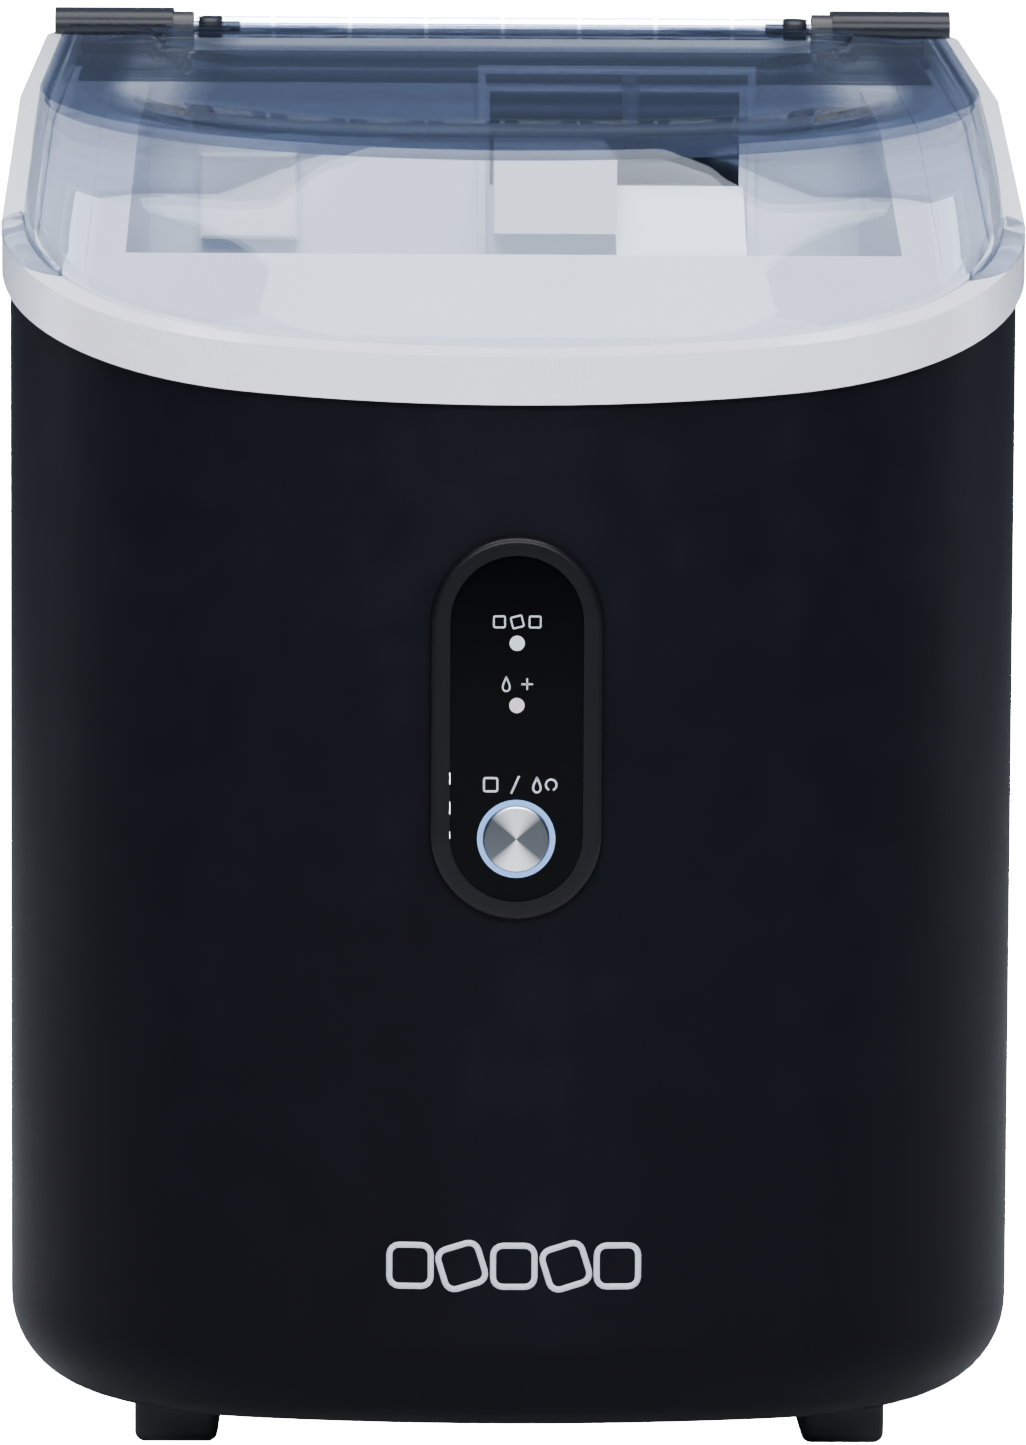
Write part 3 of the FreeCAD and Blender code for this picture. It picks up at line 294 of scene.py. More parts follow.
buttonLow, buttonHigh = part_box("power_button")
finishes = {
    "shellBlack": {"grain": 1500.0, "blotch": 9.0, "dark": (0.0014, 0.0017, 0.0030),
                   "light": (0.0028, 0.0034, 0.0056), "smooth": 0.42, "rough": 0.52, "bump": 0.35,
                   "depth": 0.00008, "specular": 0.045, "worn": (0.02, 0.022, 0.028), "wear": 0.25},
    "blackPlastic": {"grain": 1200.0, "dark": (0.008, 0.008, 0.009), "light": (0.018, 0.018, 0.020),
                     "smooth": 0.38, "rough": 0.55, "bump": 0.3},
    "bezelBlack": {"grain": 1300.0, "dark": (0.003, 0.003, 0.004), "light": (0.006, 0.006, 0.007),
                   "smooth": 0.26, "rough": 0.36, "bump": 0.25, "specular": 0.14},
    "housingNavy": {"grain": 900.0, "dark": (0.016, 0.019, 0.028), "light": (0.026, 0.030, 0.042),
                    "smooth": 0.30, "rough": 0.45, "bump": 0.15},
    "hingeBlack": {"grain": 900.0, "dark": (0.012, 0.013, 0.016), "light": (0.022, 0.024, 0.030),
                   "smooth": 0.20, "rough": 0.30, "bump": 0.1, "specular": 0.15},
    "rubberBlack": {"grain": 700.0, "dark": (0.008, 0.008, 0.008), "light": (0.020, 0.020, 0.020),
                    "smooth": 0.6, "rough": 0.85, "bump": 0.4},
    "trimSilver": {"grain": 2600.0, "blotch": 20.0, "dark": (0.87, 0.90, 0.97), "light": (0.92, 0.95, 1.0),
                   "smooth": 0.24, "rough": 0.34, "bump": 0.12, "depth": 0.00004, "metal": 0.1,
                   "coat": 0.3, "coatRough": 0.12, "worn": (0.9, 0.92, 0.95), "wear": 0.4},
    "linerGrey": {"grain": 1100.0, "blotch": 11.0, "dark": (0.70, 0.73, 0.80), "light": (0.77, 0.80, 0.87),
                  "smooth": 0.28, "rough": 0.42, "bump": 0.12},
    "spoutWhite": {"grain": 1000.0, "dark": (0.86, 0.88, 0.92), "light": (0.91, 0.93, 0.96),
                   "smooth": 0.28, "rough": 0.42, "bump": 0.12},
    "steel": {"grain": 800.0, "dark": (0.38, 0.38, 0.41), "light": (0.58, 0.58, 0.61),
              "smooth": 0.2, "rough": 0.36, "bump": 0.15, "metal": 1.0},
    "glossBlack": {"grain": 300.0, "blotch": 30.0, "dark": (0.0012, 0.0013, 0.0016),
                   "light": (0.0022, 0.0024, 0.0028), "smooth": 0.05, "rough": 0.10, "bump": 0.01,
                   "specular": 0.04, "wear": 0.0},
    "haloBlue": {"grain": 500.0, "dark": (0.16, 0.33, 0.72), "light": (0.24, 0.44, 0.85),
                 "smooth": 0.2, "rough": 0.3, "bump": 0.05, "glow": (0.25, 0.48, 0.95), "glowPower": 0.25,
                 "wear": 0.0},
    "lightPaleBlue": {"grain": 500.0, "dark": (0.62, 0.66, 0.72), "light": (0.74, 0.78, 0.84),
                      "smooth": 0.2, "rough": 0.35, "bump": 0.05, "wear": 0.0},
    "lightPalePink": {"grain": 500.0, "dark": (0.66, 0.58, 0.60), "light": (0.78, 0.69, 0.71),
                      "smooth": 0.2, "rough": 0.35, "bump": 0.05, "wear": 0.0},
    "printGrey": {"grain": 700.0, "dark": (0.52, 0.56, 0.63), "light": (0.60, 0.64, 0.71),
                  "smooth": 0.35, "rough": 0.5, "bump": 0.05, "wear": 0.0},
    "boardGreen": {"grain": 400.0, "dark": (0.02, 0.10, 0.04), "light": (0.04, 0.17, 0.07),
                   "smooth": 0.25, "rough": 0.4, "bump": 0.2},
    "compressorBlack": {"grain": 500.0, "dark": (0.010, 0.010, 0.010), "light": (0.022, 0.022, 0.022),
                        "smooth": 0.3, "rough": 0.5, "bump": 0.4, "coat": 0.2},
    "finAluminium": {"grain": 900.0, "dark": (0.55, 0.56, 0.58), "light": (0.75, 0.76, 0.78),
                     "smooth": 0.3, "rough": 0.5, "bump": 0.2, "metal": 1.0},
    "copper": {"grain": 600.0, "dark": (0.50, 0.24, 0.13), "light": (0.74, 0.42, 0.27),
               "smooth": 0.2, "rough": 0.4, "bump": 0.1, "metal": 1.0},
    "pumpGrey": {"grain": 800.0, "dark": (0.12, 0.12, 0.13), "light": (0.22, 0.22, 0.24),
                 "smooth": 0.35, "rough": 0.55, "bump": 0.2},
}
made = {name: moulded(name, look) for name, look in finishes.items()}
# the edge and top colours below paint shade into the clear plastics: edge at grazing angles and creases, top
# on nearly flat faces
made["lidSmoke"] = clearPlastic("lidSmoke", {
    "grain": 400.0, "dark": (0.93, 0.945, 0.97), "light": (0.95, 0.96, 0.98), "smooth": 0.02, "rough": 0.05,
    "ior": 1.17, "edge": (0.09, 0.12, 0.21), "grazingShadePower": 40.0, "body": 0.02, "mirror": 0.6,
    "sheen": (0.80, 0.86, 0.96), "top": (0.36, 0.40, 0.50), "ridge": 0.7, "flatness": (0.975, 0.990)})
made["basketClear"] = clearPlastic("basketClear", {
    "grain": 400.0, "dark": (0.86, 0.89, 0.93), "light": (0.92, 0.94, 0.97), "smooth": 0.04, "rough": 0.10,
    "ior": 1.30, "edge": (0.55, 0.60, 0.68), "grazingShadePower": 6.0, "body": 0.05, "mirror": 0.8,
    "sheen": (0.90, 0.92, 0.96), "top": (0.86, 0.89, 0.93), "ridge": 0.2, "flatness": (0.975, 0.990)})
# the dark and light colours and the fan here set the painted highlight of the spun button
made["spunSteel"] = spunMetal("spunSteel", {
    "height": (buttonLow.z + buttonHigh.z) / 2, "ringScale": 9000.0, "dark": (0.10, 0.11, 0.12),
    "light": (0.95, 0.96, 0.98), "fan": (0.62, 0.97), "smooth": 0.22, "rough": 0.42})
print("materials made:", len(made))


# CAD nodes: welded and smoothed for the eye only, each with its finish

nodeFinish = {
    "shellBlack": ["outer_shell"],
    "blackPlastic": ["rear_panel", "base_pan", "rear_housing", "power_inlet", "fan_shroud", "fan_rotor",
                     "gear_case"],
    "hingeBlack": ["hinge_cover_left", "hinge_cover_right"],
    "bezelBlack": ["control_bezel"],
    "rubberBlack": ["foot_front_left", "foot_front_right", "foot_rear_left", "foot_rear_right", "drain_bung",
                    "supply_hose", "drain_hose"],
    "trimSilver": ["trim_ring"],
    "linerGrey": ["liner", "spout_frame", "extruder_head", "water_tank", "float_stem"],
    "spoutWhite": ["ice_spout", "sensor_cover", "float_bob"],
    "steel": ["hinge_pin_left", "hinge_pin_right", "auger", "drive_gear", "motor_pinion", "rear_screws",
              "ice_sensor", "auger_motor"],
    "spunSteel": ["power_button"],
    "glossBlack": ["panel_lens"],
    "haloBlue": ["button_halo"],
    "lightPaleBlue": ["ice_full_light"],
    "lightPalePink": ["add_water_light", "tact_switch"],
    "boardGreen": ["control_board", "main_board"],
    "compressorBlack": ["compressor"],
    "finAluminium": ["condenser", "evaporator_barrel"],
    "copper": ["discharge_pipe", "suction_pipe", "filter_drier"],
    "pumpGrey": ["water_pump"],
    "basketClear": ["ice_basket"],
    "lidSmoke": ["lid"],
}
welding = {"distance": 2e-6, "splitAngle": 28}
for finishName, nodeNames in nodeFinish.items():
    for nodeName in nodeNames:
        node = nodes[nodeName]
        node.data.materials.clear()
        node.data.materials.append(made[finishName])
        node.data.polygons.foreach_set("use_smooth", [True] * len(node.data.polygons))
        weld = node.modifiers.new("weld", "WELD")
        weld.merge_threshold = welding["distance"]
        split = node.modifiers.new("split", "EDGE_SPLIT")
        split.split_angle = math.radians(welding["splitAngle"])
print("finishes assigned")


# new pieces

def finishPiece(mesh, name, body, finish, replaced=()):
    data = bpy.data.meshes.new(name)
    mesh.to_mesh(data)
    mesh.free()
    data.polygons.foreach_set("use_smooth", [True] * len(data.polygons))
    piece = bpy.data.objects.new(name, data)
    bpy.context.scene.collection.objects.link(piece)
    data.materials.append(made[finish])
    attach(piece, body)
    if replaced:
        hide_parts(*replaced)
    return piece


def roundEdges(piece, width, segments, angle=35):
    bevel = piece.modifiers.new("bevel", "BEVEL")
    bevel.width = width
    bevel.segments = segments
    bevel.limit_method = "ANGLE"
    bevel.angle_limit = math.radians(angle)


def thicken(piece, thickness, name):
    shell = piece.modifiers.new(name, "SOLIDIFY")
    shell.thickness = thickness
    shell.offset = -1


# loops of points are joined by growing one loop of edges into the next

def growLoop(mesh, edges, lastOf, points):
    grown = bmesh.ops.extrude_edge_only(mesh, edges=edges)["geom"]
    nextOf = {}
    for vert in (item for item in grown if isinstance(item, bmesh.types.BMVert)):
        below = next(edge.other_vert(vert) for edge in vert.link_edges if edge.other_vert(vert) in lastOf)
        nextOf[vert] = lastOf[below]
    for vert, index in nextOf.items():
        vert.co = points[index]
    return [item for item in grown if isinstance(item, bmesh.types.BMEdge)], nextOf


def firstLoop(mesh, points):
    verts = bmesh.ops.create_circle(mesh, cap_ends=False, radius=1.0, segments=len(points))["verts"]
    for vert, point in zip(verts, points):
        vert.co = point
    edges = list({edge for vert in verts for edge in vert.link_edges})
    return edges, {vert: index for index, vert in enumerate(verts)}


def skin(mesh, loops):
    edges, lastOf = firstLoop(mesh, loops[0])
    bmesh.ops.contextual_create(mesh, geom=edges)
    for points in loops[1:]:
        edges, lastOf = growLoop(mesh, edges, lastOf, points)
    bmesh.ops.contextual_create(mesh, geom=edges)
    bmesh.ops.recalc_face_normals(mesh, faces=mesh.faces)


def roundLoop(x, centre, radius, count=40):
    turns = [2 * math.pi * k / count for k in range(count)]
    return [Vector((x, centre.y + radius * math.cos(a), centre.z + radius * math.sin(a))) for a in turns]


# the lid: rings of one closed loop, from the rim on the trim up to the middle of the top panel

trimLow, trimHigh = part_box("trim_ring")
hinge = next(joint for joint in frame["joints"] if joint["name"] == "lid_hinge")
hingePoint = Vector(hinge["pos_m"])
lidShape = {
    "frontRadius": 0.275, "cornerRadius": 0.075, "inset": 0.005, "wall": 0.0026, "kneeY": 0.005,
    "frontSlope": 20.5, "rearSlope": 7.5, "rimRise": 0.0112, "rearEdge": 0.1312, "loop": 192,
    "windowWidth": 0.090, "windowFront": -0.062, "windowCorner": 0.062, "windowRear": 0.118,
    "windowDrop": 0.0012, "windowStep": 0.0012, "bevel": 0.0006,
    "frontFlat": 0.45, "sideFlat": 0.06, "frontLift": 0.45, "sideLift": 0.72,   # the crease, front and sides
    "sideStart": 0.35, "sideBlend": 0.5, "roundness": 0.72, "shoulderSteps": 9,
}
half = trimHigh.x - lidShape["inset"]
steep = math.tan(math.radians(lidShape["frontSlope"]))
shallow = math.tan(math.radians(lidShape["rearSlope"]))
kneeZ = trimLow.z + (lidShape["kneeY"] - trimLow.y) * steep


def rimZ(y):
    rise = steep if y < lidShape["kneeY"] else shallow
    return kneeZ + (y - lidShape["kneeY"]) * rise + lidShape["rimRise"]


def panelZ(y):
    return kneeZ + (y - lidShape["kneeY"]) * shallow + lidShape["rimRise"] + lidShape["wall"]


def frontEdge(x, inset):
    big = lidShape["frontRadius"] - inset
    small = lidShape["cornerRadius"] - inset
    centreY = trimLow.y + inset + big
    cornerX = trimHigh.x - inset - small
    cornerY = centreY - math.sqrt((big - small) ** 2 - cornerX ** 2)
    jointX = big * cornerX / (big - small)
    x = min(abs(x), trimHigh.x - inset)
    if x <= jointX:
        return centreY - math.sqrt(big ** 2 - x ** 2)
    return cornerY - math.sqrt(max(small ** 2 - (x - cornerX) ** 2, 0))


def reach(direction, isInside, farthest=0.3, rounds=40):
    near, far = 0.0, farthest
    for _ in range(rounds):                                 # halving finds the outline along one direction
        middle = (near + far) / 2
        if isInside(direction.x * middle, lidShape["kneeY"] + direction.y * middle):
            near = middle
        else:
            far = middle
    return direction * near + Vector((0, lidShape["kneeY"], 0))


def insideRim(x, y):
    return abs(x) <= half and y <= lidShape["rearEdge"] and y >= frontEdge(x, lidShape["inset"])


def insidePanel(x, y):
    if y < lidShape["kneeY"]:
        return x * x + (y - lidShape["kneeY"]) ** 2 <= half * half
    return insideRim(x, y)


def insideWindow(x, y, grow=0.0):
    wide = lidShape["windowWidth"] + grow
    corner = lidShape["windowCorner"] + grow
    front = lidShape["windowFront"] - grow
    if abs(x) > wide or y > lidShape["windowRear"] + grow or y < front:
        return False
    if abs(x) > wide - corner and y < front + corner:
        return (abs(x) - wide + corner) ** 2 + (y - front - corner) ** 2 <= corner ** 2
    return True


def ringPoints():
    step, drop, knee = lidShape["windowStep"], lidShape["windowDrop"], lidShape["kneeY"]
    rings = []
    for index in range(lidShape["loop"]):
        angle = 2 * math.pi * (index + 0.5) / lidShape["loop"]
        direction = Vector((math.cos(angle), math.sin(angle), 0))
        rim = reach(direction, insideRim)
        crest = reach(direction, insidePanel)
        outside = reach(direction, lambda x, y: insideWindow(x, y, step))
        inside = reach(direction, lambda x, y: insideWindow(x, y, -step))
        share = min(max((abs(rim.x) / half - lidShape["sideStart"]) / lidShape["sideBlend"], 0), 1)
        share = share * share * (3 - 2 * share)             # 0 at the front, 1 at the sides
        flat = lidShape["frontFlat"] + (lidShape["sideFlat"] - lidShape["frontFlat"]) * share
        lift = lidShape["frontLift"] + (lidShape["sideLift"] - lidShape["frontLift"]) * share
        rim.z, crest.z = rimZ(rim.y), panelZ(crest.y)
        crease = rim.lerp(crest, flat)
        crease.z = rim.z + (crest.z - rim.z) * lift
        outside.z, inside.z = panelZ(outside.y), panelZ(inside.y) - drop
        middle = Vector((inside.x / 2, (knee + inside.y) / 2, 0))
        middle.z = panelZ(middle.y) - drop
        rings.append([rim, crease, crest, outside, inside, middle])
    return rings


def shoulder(rim, crease, crest):
    count = lidShape["shoulderSteps"]
    points = []
    for step in range(1, count):
        share = step / count
        curve = rim.lerp(crease, share).lerp(crease.lerp(crest, share), share)
        corner = rim.lerp(crease, 2 * share) if 2 * share <= 1 else crease.lerp(crest, 2 * share - 1)
        points.append(curve.lerp(corner, lidShape["roundness"]))
    return points


def betweenRings(rings):
    return [[rim, *shoulder(rim, crease, crest), crest, crest.lerp(outside, 0.04), crest.lerp(outside, 0.5),
             outside, inside, inside.lerp(middle, 0.5), middle]
            for rim, crease, crest, outside, inside, middle in rings]


def buildLid():
    columns = betweenRings(ringPoints())
    mesh = bmesh.new()
    edges, lastOf = firstLoop(mesh, [column[0] for column in columns])
    for level in range(1, len(columns[0])):
        edges, lastOf = growLoop(mesh, edges, lastOf, [column[level] for column in columns])
    bmesh.ops.contextual_create(mesh, geom=edges)
    bmesh.ops.recalc_face_normals(mesh, faces=mesh.faces)
    if max(mesh.faces, key=lambda face: face.calc_center_median().z).normal.z < 0:
        bmesh.ops.reverse_faces(mesh, faces=mesh.faces)
    lid = finishPiece(mesh, "lidCover", "lid", "lidSmoke", ["lid"])
    thicken(lid, lidShape["wall"], "wall")
    roundEdges(lid, lidShape["bevel"], 2, 28)


buildLid()


def sideEdge(y, inset):
    small = lidShape["cornerRadius"] - inset
    big = lidShape["frontRadius"] - inset
    cornerX = trimHigh.x - inset - small
    cornerY = trimLow.y + inset + big - math.sqrt((big - small) ** 2 - cornerX ** 2)
    if y >= cornerY:
        return trimHigh.x - inset
    return cornerX + math.sqrt(small ** 2 - (y - cornerY) ** 2)


lidTab = {"front": -0.107, "rear": -0.075, "inner": 0.0052, "outer": -0.0009, "stations": 16, "lip": 0.0005,
          "swell": 6, "least": 0.15, "bevel": 0.0002}


def buildTab(side, sign):
    mesh = bmesh.new()
    loops = []
    for step in range(lidTab["stations"] + 1):
        share = step / lidTab["stations"]
        y = lidTab["front"] + (lidTab["rear"] - lidTab["front"]) * share
        swell = math.sqrt(min(1.0, lidTab["swell"] * share, lidTab["swell"] * (1 - share)))
        inner = sideEdge(y, lidTab["inner"])
        outer = inner + (sideEdge(y, lidTab["outer"]) - inner) * max(swell, lidTab["least"])
        low = rimZ(y)
        high = low + lidShape["wall"]
        lip = lidTab["lip"]
        loops.append([Vector((sign * x, y, z)) for x, z in (
            (inner, low), (outer - lip, low), (outer, low + lip), (outer, high - lip), (outer - lip, high),
            (inner + 2 * lip, high), (inner, high - lip))])
    skin(mesh, loops)
    tab = finishPiece(mesh, "lidTab" + side, "lid", "lidSmoke")
    roundEdges(tab, lidTab["bevel"], 2, 30)


lidBarrel = {"half": 0.0808, "radius": 0.0029, "grooves": 8, "groove": 0.0006, "grooveFloor": 0.0003,
             "depth": 0.0004, "stripInset": 0.0010, "stripRear": 0.0012, "stripFront": 0.0008, "bevel": 0.0003}
# the caps: distance along the barrel, then radius
barrelCap = {"start": 0.0068, "grow": 1.045, "profile": (
    (0.0, 0.0023), (0.0004, 0.00285), (0.0050, 0.00285), (0.0056, 0.0025), (0.0062, 0.0025))}


def buildBarrel():
    mesh = bmesh.new()
    ends, radius, depth = lidBarrel["half"], lidBarrel["radius"], lidBarrel["depth"]
    wide, floor = lidBarrel["groove"], lidBarrel["grooveFloor"]
    stations = [(-ends, radius - depth), (-ends + depth, radius)]
    for groove in range(1, lidBarrel["grooves"]):
        x = -ends + 2 * ends * groove / lidBarrel["grooves"]
        stations += [(x - wide, radius), (x - floor, radius - depth),
                     (x + floor, radius - depth), (x + wide, radius)]
    stations += [(ends - depth, radius), (ends, radius - depth)]
    skin(mesh, [roundLoop(x, hingePoint, size) for x, size in stations])
    finishPiece(mesh, "lidBarrel", "lid", "lidSmoke")


def buildStrip():
    mesh = bmesh.new()
    front = lidShape["rearEdge"] - lidBarrel["stripFront"]
    rear = hingePoint.y - lidBarrel["stripRear"]
    end = lidBarrel["half"] - lidBarrel["stripInset"]
    skin(mesh, [[Vector((x, y, rimZ(y) + rise)) for y, rise in (
        (front, 0.0), (rear, 0.0), (rear, lidShape["wall"]), (front, lidShape["wall"]))] for x in (-end, end)])
    roundEdges(finishPiece(mesh, "lidStrip", "lid", "lidSmoke"), lidBarrel["bevel"], 2)


def buildBarrelCap(side, sign):
    mesh = bmesh.new()
    start = lidBarrel["half"] - barrelCap["start"]
    skin(mesh, [roundLoop(sign * (start + along), hingePoint, radius * barrelCap["grow"])
                for along, radius in barrelCap["profile"]])
    finishPiece(mesh, "lidBarrelCap" + side, "lid", "hingeBlack")


buildTab("Left", -1)
buildTab("Right", 1)
buildBarrel()
buildStrip()
buildBarrelCap("Left", -1)
buildBarrelCap("Right", 1)
print("lid made")


# dark cover and pods behind the well, under the lid

rearCover = {"front": 0.0825, "rear": 0.1200, "side": 0.1095, "lift": 0.0049, "thick": 0.0009, "slots": 5,
             "ridge": 0.0002, "bevel": 0.0003}
# the pods: each layer is a share of the height and what it shrinks by
pod = {"inner": 0.0835, "outer": 0.1085, "front": 0.0960, "rear": 0.1195, "low": 0.0059, "high": 0.0100,
       "square": 0.45, "points": 32,
       "layers": ((0.0, 0.0), (0.35, 0.0006), (0.7, 0.0015), (0.9, 0.0026), (1.0, 0.0042))}


def coverZ(y, rise):
    return kneeZ + (y - lidShape["kneeY"]) * shallow + rise


def buildRearCover():
    mesh = bmesh.new()
    wide, count = rearCover["side"], rearCover["slots"] * 4
    loops = []
    for step in range(count + 1):
        y = rearCover["front"] + (rearCover["rear"] - rearCover["front"]) * step / count
        low = coverZ(y, rearCover["lift"])
        high = low + rearCover["thick"] + (rearCover["ridge"] if step % 4 in (1, 2) else 0.0)
        loops.append([Vector((x, y, z)) for x, z in ((-wide, low), (wide, low), (wide, high), (-wide, high))])
    skin(mesh, loops)
    cover = finishPiece(mesh, "rearDeckCover", "chassis", "housingNavy")
    roundEdges(cover, rearCover["bevel"], 2)


def squared(value):
    return math.copysign(abs(value) ** pod["square"], value)


def buildPod(side, sign):
    mesh = bmesh.new()
    centreX, centreY = sign * (pod["outer"] + pod["inner"]) / 2, (pod["front"] + pod["rear"]) / 2
    loops = []
    for share, shrink in pod["layers"]:
        rise = pod["low"] + (pod["high"] - pod["low"]) * share
        wide = (pod["outer"] - pod["inner"]) / 2 - shrink
        deep = (pod["rear"] - pod["front"]) / 2 - shrink
        ring = []
        for k in range(pod["points"]):
            a = 2 * math.pi * (k + 0.5) / pod["points"]
            y = centreY + squared(math.sin(a)) * deep
            ring.append(Vector((centreX + squared(math.cos(a)) * wide, y, coverZ(y, rise))))
        loops.append(ring)
    skin(mesh, loops)
    finishPiece(mesh, "rearPod" + side, "chassis", "hingeBlack")


buildRearCover()
buildPod("Left", -1)
buildPod("Right", 1)
print("rear cover made")


# printed marks: strokes of ink that follow the surface they lie on

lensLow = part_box("panel_lens")[0]
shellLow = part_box("outer_shell")[0]
shellRadius = lidShape["frontRadius"] - (shellLow.y - trimLow.y)
ink = {"clear": 0.00004, "thick": 0.00003, "fine": 0.00038, "medium": 0.000456, "bold": 0.00135,
       "iceRise": 0.0048, "buttonRise": 0.0122, "markHeight": 0.0500}
iceIcon = {"half": 0.00125, "corner": 0.0003, "cubes": ((-0.0040, 0.0), (0.0, 0.25), (0.0040, 0.0))}
waterIcon = {"dropX": -0.0024, "drop": 0.0016, "plusX": 0.0023, "plus": 0.0013}
cleanIcon = {"cubeX": -0.0058, "half": 0.0015, "corner": 0.0004,
             "slash": (-0.0012, 0.0006), "slashHalf": 0.0020,
             "dropX": 0.0046, "drop": 0.0017, "arcX": 0.0078, "arc": 0.0012, "arcTurn": (200, 520)}
frontMark = {"half": 0.0047, "corner": 0.0022,
             "squares": ((-0.0235, 0.0), (-0.0118, 0.30), (0.0, 0.0), (0.0118, 0.30), (0.0235, 0.0))}


def onLens(x):
    return lensLow.y


def onShell(x):
    return shellLow.y + shellRadius - math.sqrt(shellRadius ** 2 - x * x)


def strokeMesh(mesh, points, width, closed, surface):
    count = len(points)
    edges = ([], [])
    for index, (x, z) in enumerate(points):
        before = points[index - 1] if closed or index else points[index]
        after = points[(index + 1) % count] if closed or index < count - 1 else points[index]
        dx, dz = after[0] - before[0], after[1] - before[1]
        length = math.hypot(dx, dz)
        for side, row in zip((-1, 1), edges):
            px = x - side * dz / length * width / 2
            pz = z + side * dx / length * width / 2
            row.append(Vector((px, surface(px) - ink["clear"], pz)))
    if closed:
        loop, lastOf = firstLoop(mesh, edges[0])
        growLoop(mesh, loop, lastOf, edges[1])
        return
    start = mesh.verts.new(edges[0][0])
    for point in edges[0][1:]:
        grown = bmesh.ops.extrude_vert_indiv(mesh, verts=[start])["verts"]
        grown[0].co = point
        start = grown[0]
    line, walked = [], [start]
    while len(walked) < count:
        edge = next(item for item in walked[-1].link_edges if item not in line)
        line.append(edge)
        walked.append(edge.other_vert(walked[-1]))
    growLoop(mesh, line, {vert: count - 1 - index for index, vert in enumerate(walked)}, edges[1])


def roundedSquare(cx, cz, size, corner, turn=0.0, steps=4):
    points = []
    for quarter in range(4):
        base = quarter * math.pi / 2
        middleX = math.copysign(size - corner, math.cos(base + math.pi / 4))
        middleZ = math.copysign(size - corner, math.sin(base + math.pi / 4))
        for step in range(steps + 1):
            a = base + step / steps * math.pi / 2
            x, z = middleX + corner * math.cos(a), middleZ + corner * math.sin(a)
            points.append((cx + x * math.cos(turn) - z * math.sin(turn),
                           cz + x * math.sin(turn) + z * math.cos(turn)))
    return points


def dropShape(cx, cz, size, steps=28, narrow=0.72, pinch=1.6):
    turns = [2 * math.pi * step / steps for step in range(steps)]
    return [(cx + size * narrow * math.sin(a) * math.sin(a / 2) ** pinch, cz + size * math.cos(a))
            for a in turns]


def arcShape(cx, cz, radius, start, end, steps=24):
    turns = [math.radians(start + (end - start) * step / steps) for step in range(steps + 1)]
    return [(cx + radius * math.sin(a), cz + radius * math.cos(a)) for a in turns]


def printMark(name, strokes, width, surface):
    mesh = bmesh.new()
    for points, closed in strokes:
        strokeMesh(mesh, points, width, closed, surface)
    bmesh.ops.recalc_face_normals(mesh, faces=mesh.faces)
    if sum(face.normal.y for face in mesh.faces) > 0:       # the print faces forwards
        bmesh.ops.reverse_faces(mesh, faces=mesh.faces)
    mark = finishPiece(mesh, name, "chassis", "printGrey")
    thicken(mark, ink["thick"], "layer")


def heightOf(name):
    low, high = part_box(name)
    return (low.z + high.z) / 2


iceZ = heightOf("ice_full_light") + ink["iceRise"]
waterZ = heightOf("add_water_light") + ink["iceRise"]
cleanZ = (buttonLow.z + buttonHigh.z) / 2 + ink["buttonRise"]
plusX, plus = waterIcon["plusX"], waterIcon["plus"]
(slashFrom, slashTo), slash = cleanIcon["slash"], cleanIcon["slashHalf"]
printMark("iceFullIcon", [(roundedSquare(x, iceZ, iceIcon["half"], iceIcon["corner"], turn), True)
                          for x, turn in iceIcon["cubes"]], ink["fine"], onLens)
printMark("addWaterIcon", [(dropShape(waterIcon["dropX"], waterZ, waterIcon["drop"]), True),
                           ([(plusX - plus, waterZ), (plusX + plus, waterZ)], False),
                           ([(plusX, waterZ - plus), (plusX, waterZ + plus)], False)], ink["fine"], onLens)
cube = roundedSquare(cleanIcon["cubeX"], cleanZ, cleanIcon["half"], cleanIcon["corner"])
arc = arcShape(cleanIcon["arcX"], cleanZ, cleanIcon["arc"], *cleanIcon["arcTurn"])
printMark("iceCleanIcon", [(cube, True),
                           ([(slashFrom, cleanZ - slash), (slashTo, cleanZ + slash)], False),
                           (dropShape(cleanIcon["dropX"], cleanZ, cleanIcon["drop"]), True),
                           (arc, False)],
          ink["medium"], onLens)
markHalf, markCorner = frontMark["half"], frontMark["corner"]
printMark("frontMark", [(roundedSquare(x, ink["markHeight"], markHalf, markCorner, turn), True)
                        for x, turn in frontMark["squares"]], ink["bold"], onShell)
print("marks printed")


# floor, lights and camera

camera = {"distance": 1.536, "height": 0.308, "side": -0.025, "pitch": -4.99, "yaw": -0.90, "roll": -0.30,
          "lens": 241.087719, "sensor": 36.0, "clipEnd": 20}
floorSheet = {"reach": 4.0, "squares": 8, "grain": 40.0, "dark": (0.90, 0.90, 0.91),
              "light": (0.94, 0.94, 0.95), "smooth": 0.7, "rough": 0.9, "bump": 0.0, "wear": 0.0}
lamps = {
    "keyTop": {"place": (0.0, -0.35, 1.7), "aim": (0, 0, 0.25), "size": (1.3, 1.0), "power": 44,
               "colour": (0.95, 0.97, 1.0)},
    "frontSoft": {"place": (0.0, -2.4, 1.6), "aim": (0, 0, 0.2), "size": (1.8, 1.0), "power": 78,
                  "colour": (0.92, 0.95, 1.0)},
    "leftStrip": {"place": (-1.1, 0.25, 0.5), "aim": (0, 0, 0.2), "size": (0.35, 1.6), "power": 5,
                  "colour": (0.80, 0.88, 1.0)},
    "rightStrip": {"place": (1.1, 0.25, 0.5), "aim": (0, 0, 0.2), "size": (0.35, 1.6), "power": 5,
                   "colour": (0.80, 0.88, 1.0)},
}
# the room is brighter behind and above than in front; the camera sees plain white instead
studio = {"colour": (0.42, 0.51, 0.74, 1), "start": 0.2, "front": 0.12, "behind": 0.42, "upShare": 0.6,
          "backdrop": 40.0}


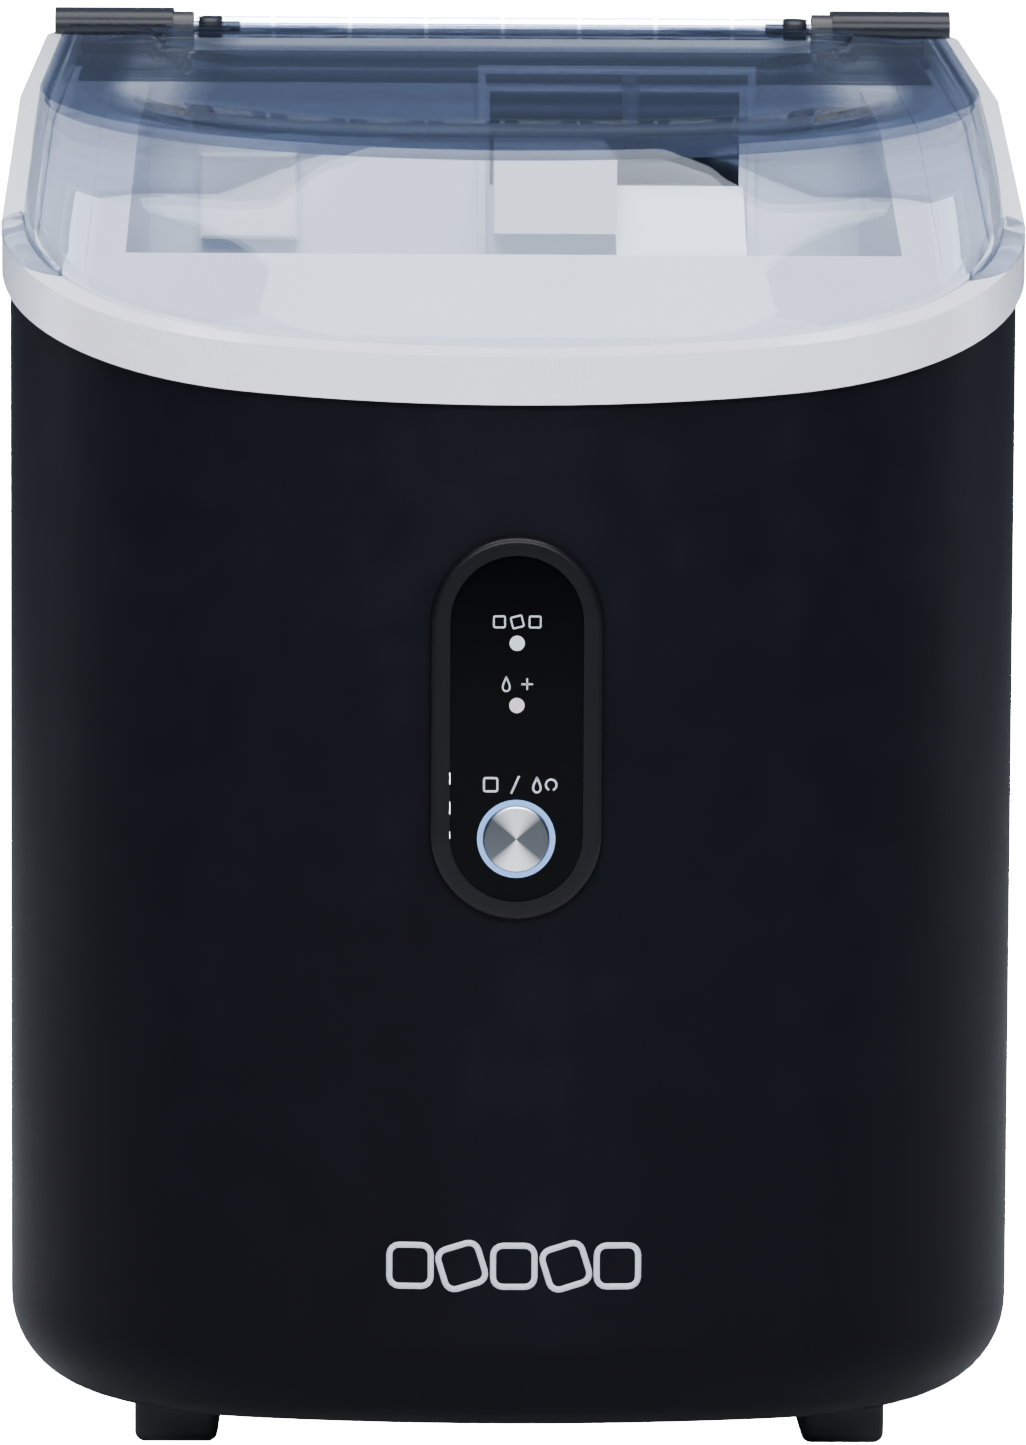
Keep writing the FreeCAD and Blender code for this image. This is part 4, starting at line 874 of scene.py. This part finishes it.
def buildFloor():
    mesh = bmesh.new()
    bmesh.ops.create_grid(mesh, x_segments=floorSheet["squares"], y_segments=floorSheet["squares"],
                          size=floorSheet["reach"])
    data = bpy.data.meshes.new("floor")
    mesh.to_mesh(data)
    mesh.free()
    floor = bpy.data.objects.new("floor", data)
    bpy.context.scene.collection.objects.link(floor)
    data.materials.append(moulded("floorPaper", floorSheet))
    floor.visible_camera = False


def areaLight(name, values):
    lamp = bpy.data.lights.new(name, "AREA")
    lamp.shape = "RECTANGLE"
    lamp.size, lamp.size_y = values["size"]
    lamp.energy = values["power"]
    lamp.color = values["colour"]
    light = bpy.data.objects.new(name, lamp)
    light.location = values["place"]
    light.rotation_euler = (Vector(values["aim"]) - light.location).to_track_quat("-Z", "Y").to_euler()
    bpy.context.scene.collection.objects.link(light)


def buildCamera():
    lens = bpy.data.cameras.new("view")
    lens.sensor_fit = "HORIZONTAL"
    lens.sensor_width = camera["sensor"]
    lens.lens = camera["lens"]
    lens.clip_end = camera["clipEnd"]
    view = bpy.data.objects.new("view", lens)
    view.location = (camera["side"], cadLow.y - camera["distance"], camera["height"])
    turns = [Matrix.Rotation(math.radians(angle), 3, axis) for angle, axis in (
        (camera["yaw"], "Z"), (90 + camera["pitch"], "X"), (-camera["roll"], "Z"))]
    view.rotation_euler = (turns[0] @ turns[1] @ turns[2]).to_euler()
    bpy.context.scene.collection.objects.link(view)
    bpy.context.scene.camera = view


def buildWorld():
    world = bpy.data.worlds.new("studio")
    world.use_nodes = True
    tree = world.node_tree
    ambient = tree.nodes["Background"]
    ambient.inputs["Color"].default_value = studio["colour"]
    place = tree.nodes.new("ShaderNodeTexCoord")
    parts = tree.nodes.new("ShaderNodeSeparateXYZ")
    tree.links.new(place.outputs["Generated"], parts.inputs["Vector"])
    upward = mathNode(tree, "MULTIPLY", parts.outputs["Z"], studio["upShare"])
    behind = rangeNode(tree, mathNode(tree, "ADD", parts.outputs["Y"], upward), (studio["start"], 1.0),
                       (studio["front"], studio["behind"]))
    tree.links.new(behind.outputs["Result"], ambient.inputs["Strength"])
    backdrop = tree.nodes.new("ShaderNodeBackground")
    backdrop.inputs["Strength"].default_value = studio["backdrop"]
    path = tree.nodes.new("ShaderNodeLightPath")
    mix = tree.nodes.new("ShaderNodeMixShader")
    tree.links.new(path.outputs["Is Camera Ray"], mix.inputs["Fac"])
    tree.links.new(ambient.outputs["Background"], mix.inputs[1])
    tree.links.new(backdrop.outputs["Background"], mix.inputs[2])
    tree.links.new(mix.outputs["Shader"], tree.nodes["World Output"].inputs["Surface"])
    bpy.context.scene.world = world


buildFloor()
for lampName, lampValues in lamps.items():
    areaLight(lampName, lampValues)
buildWorld()
buildCamera()
print("floor, lights and camera placed")
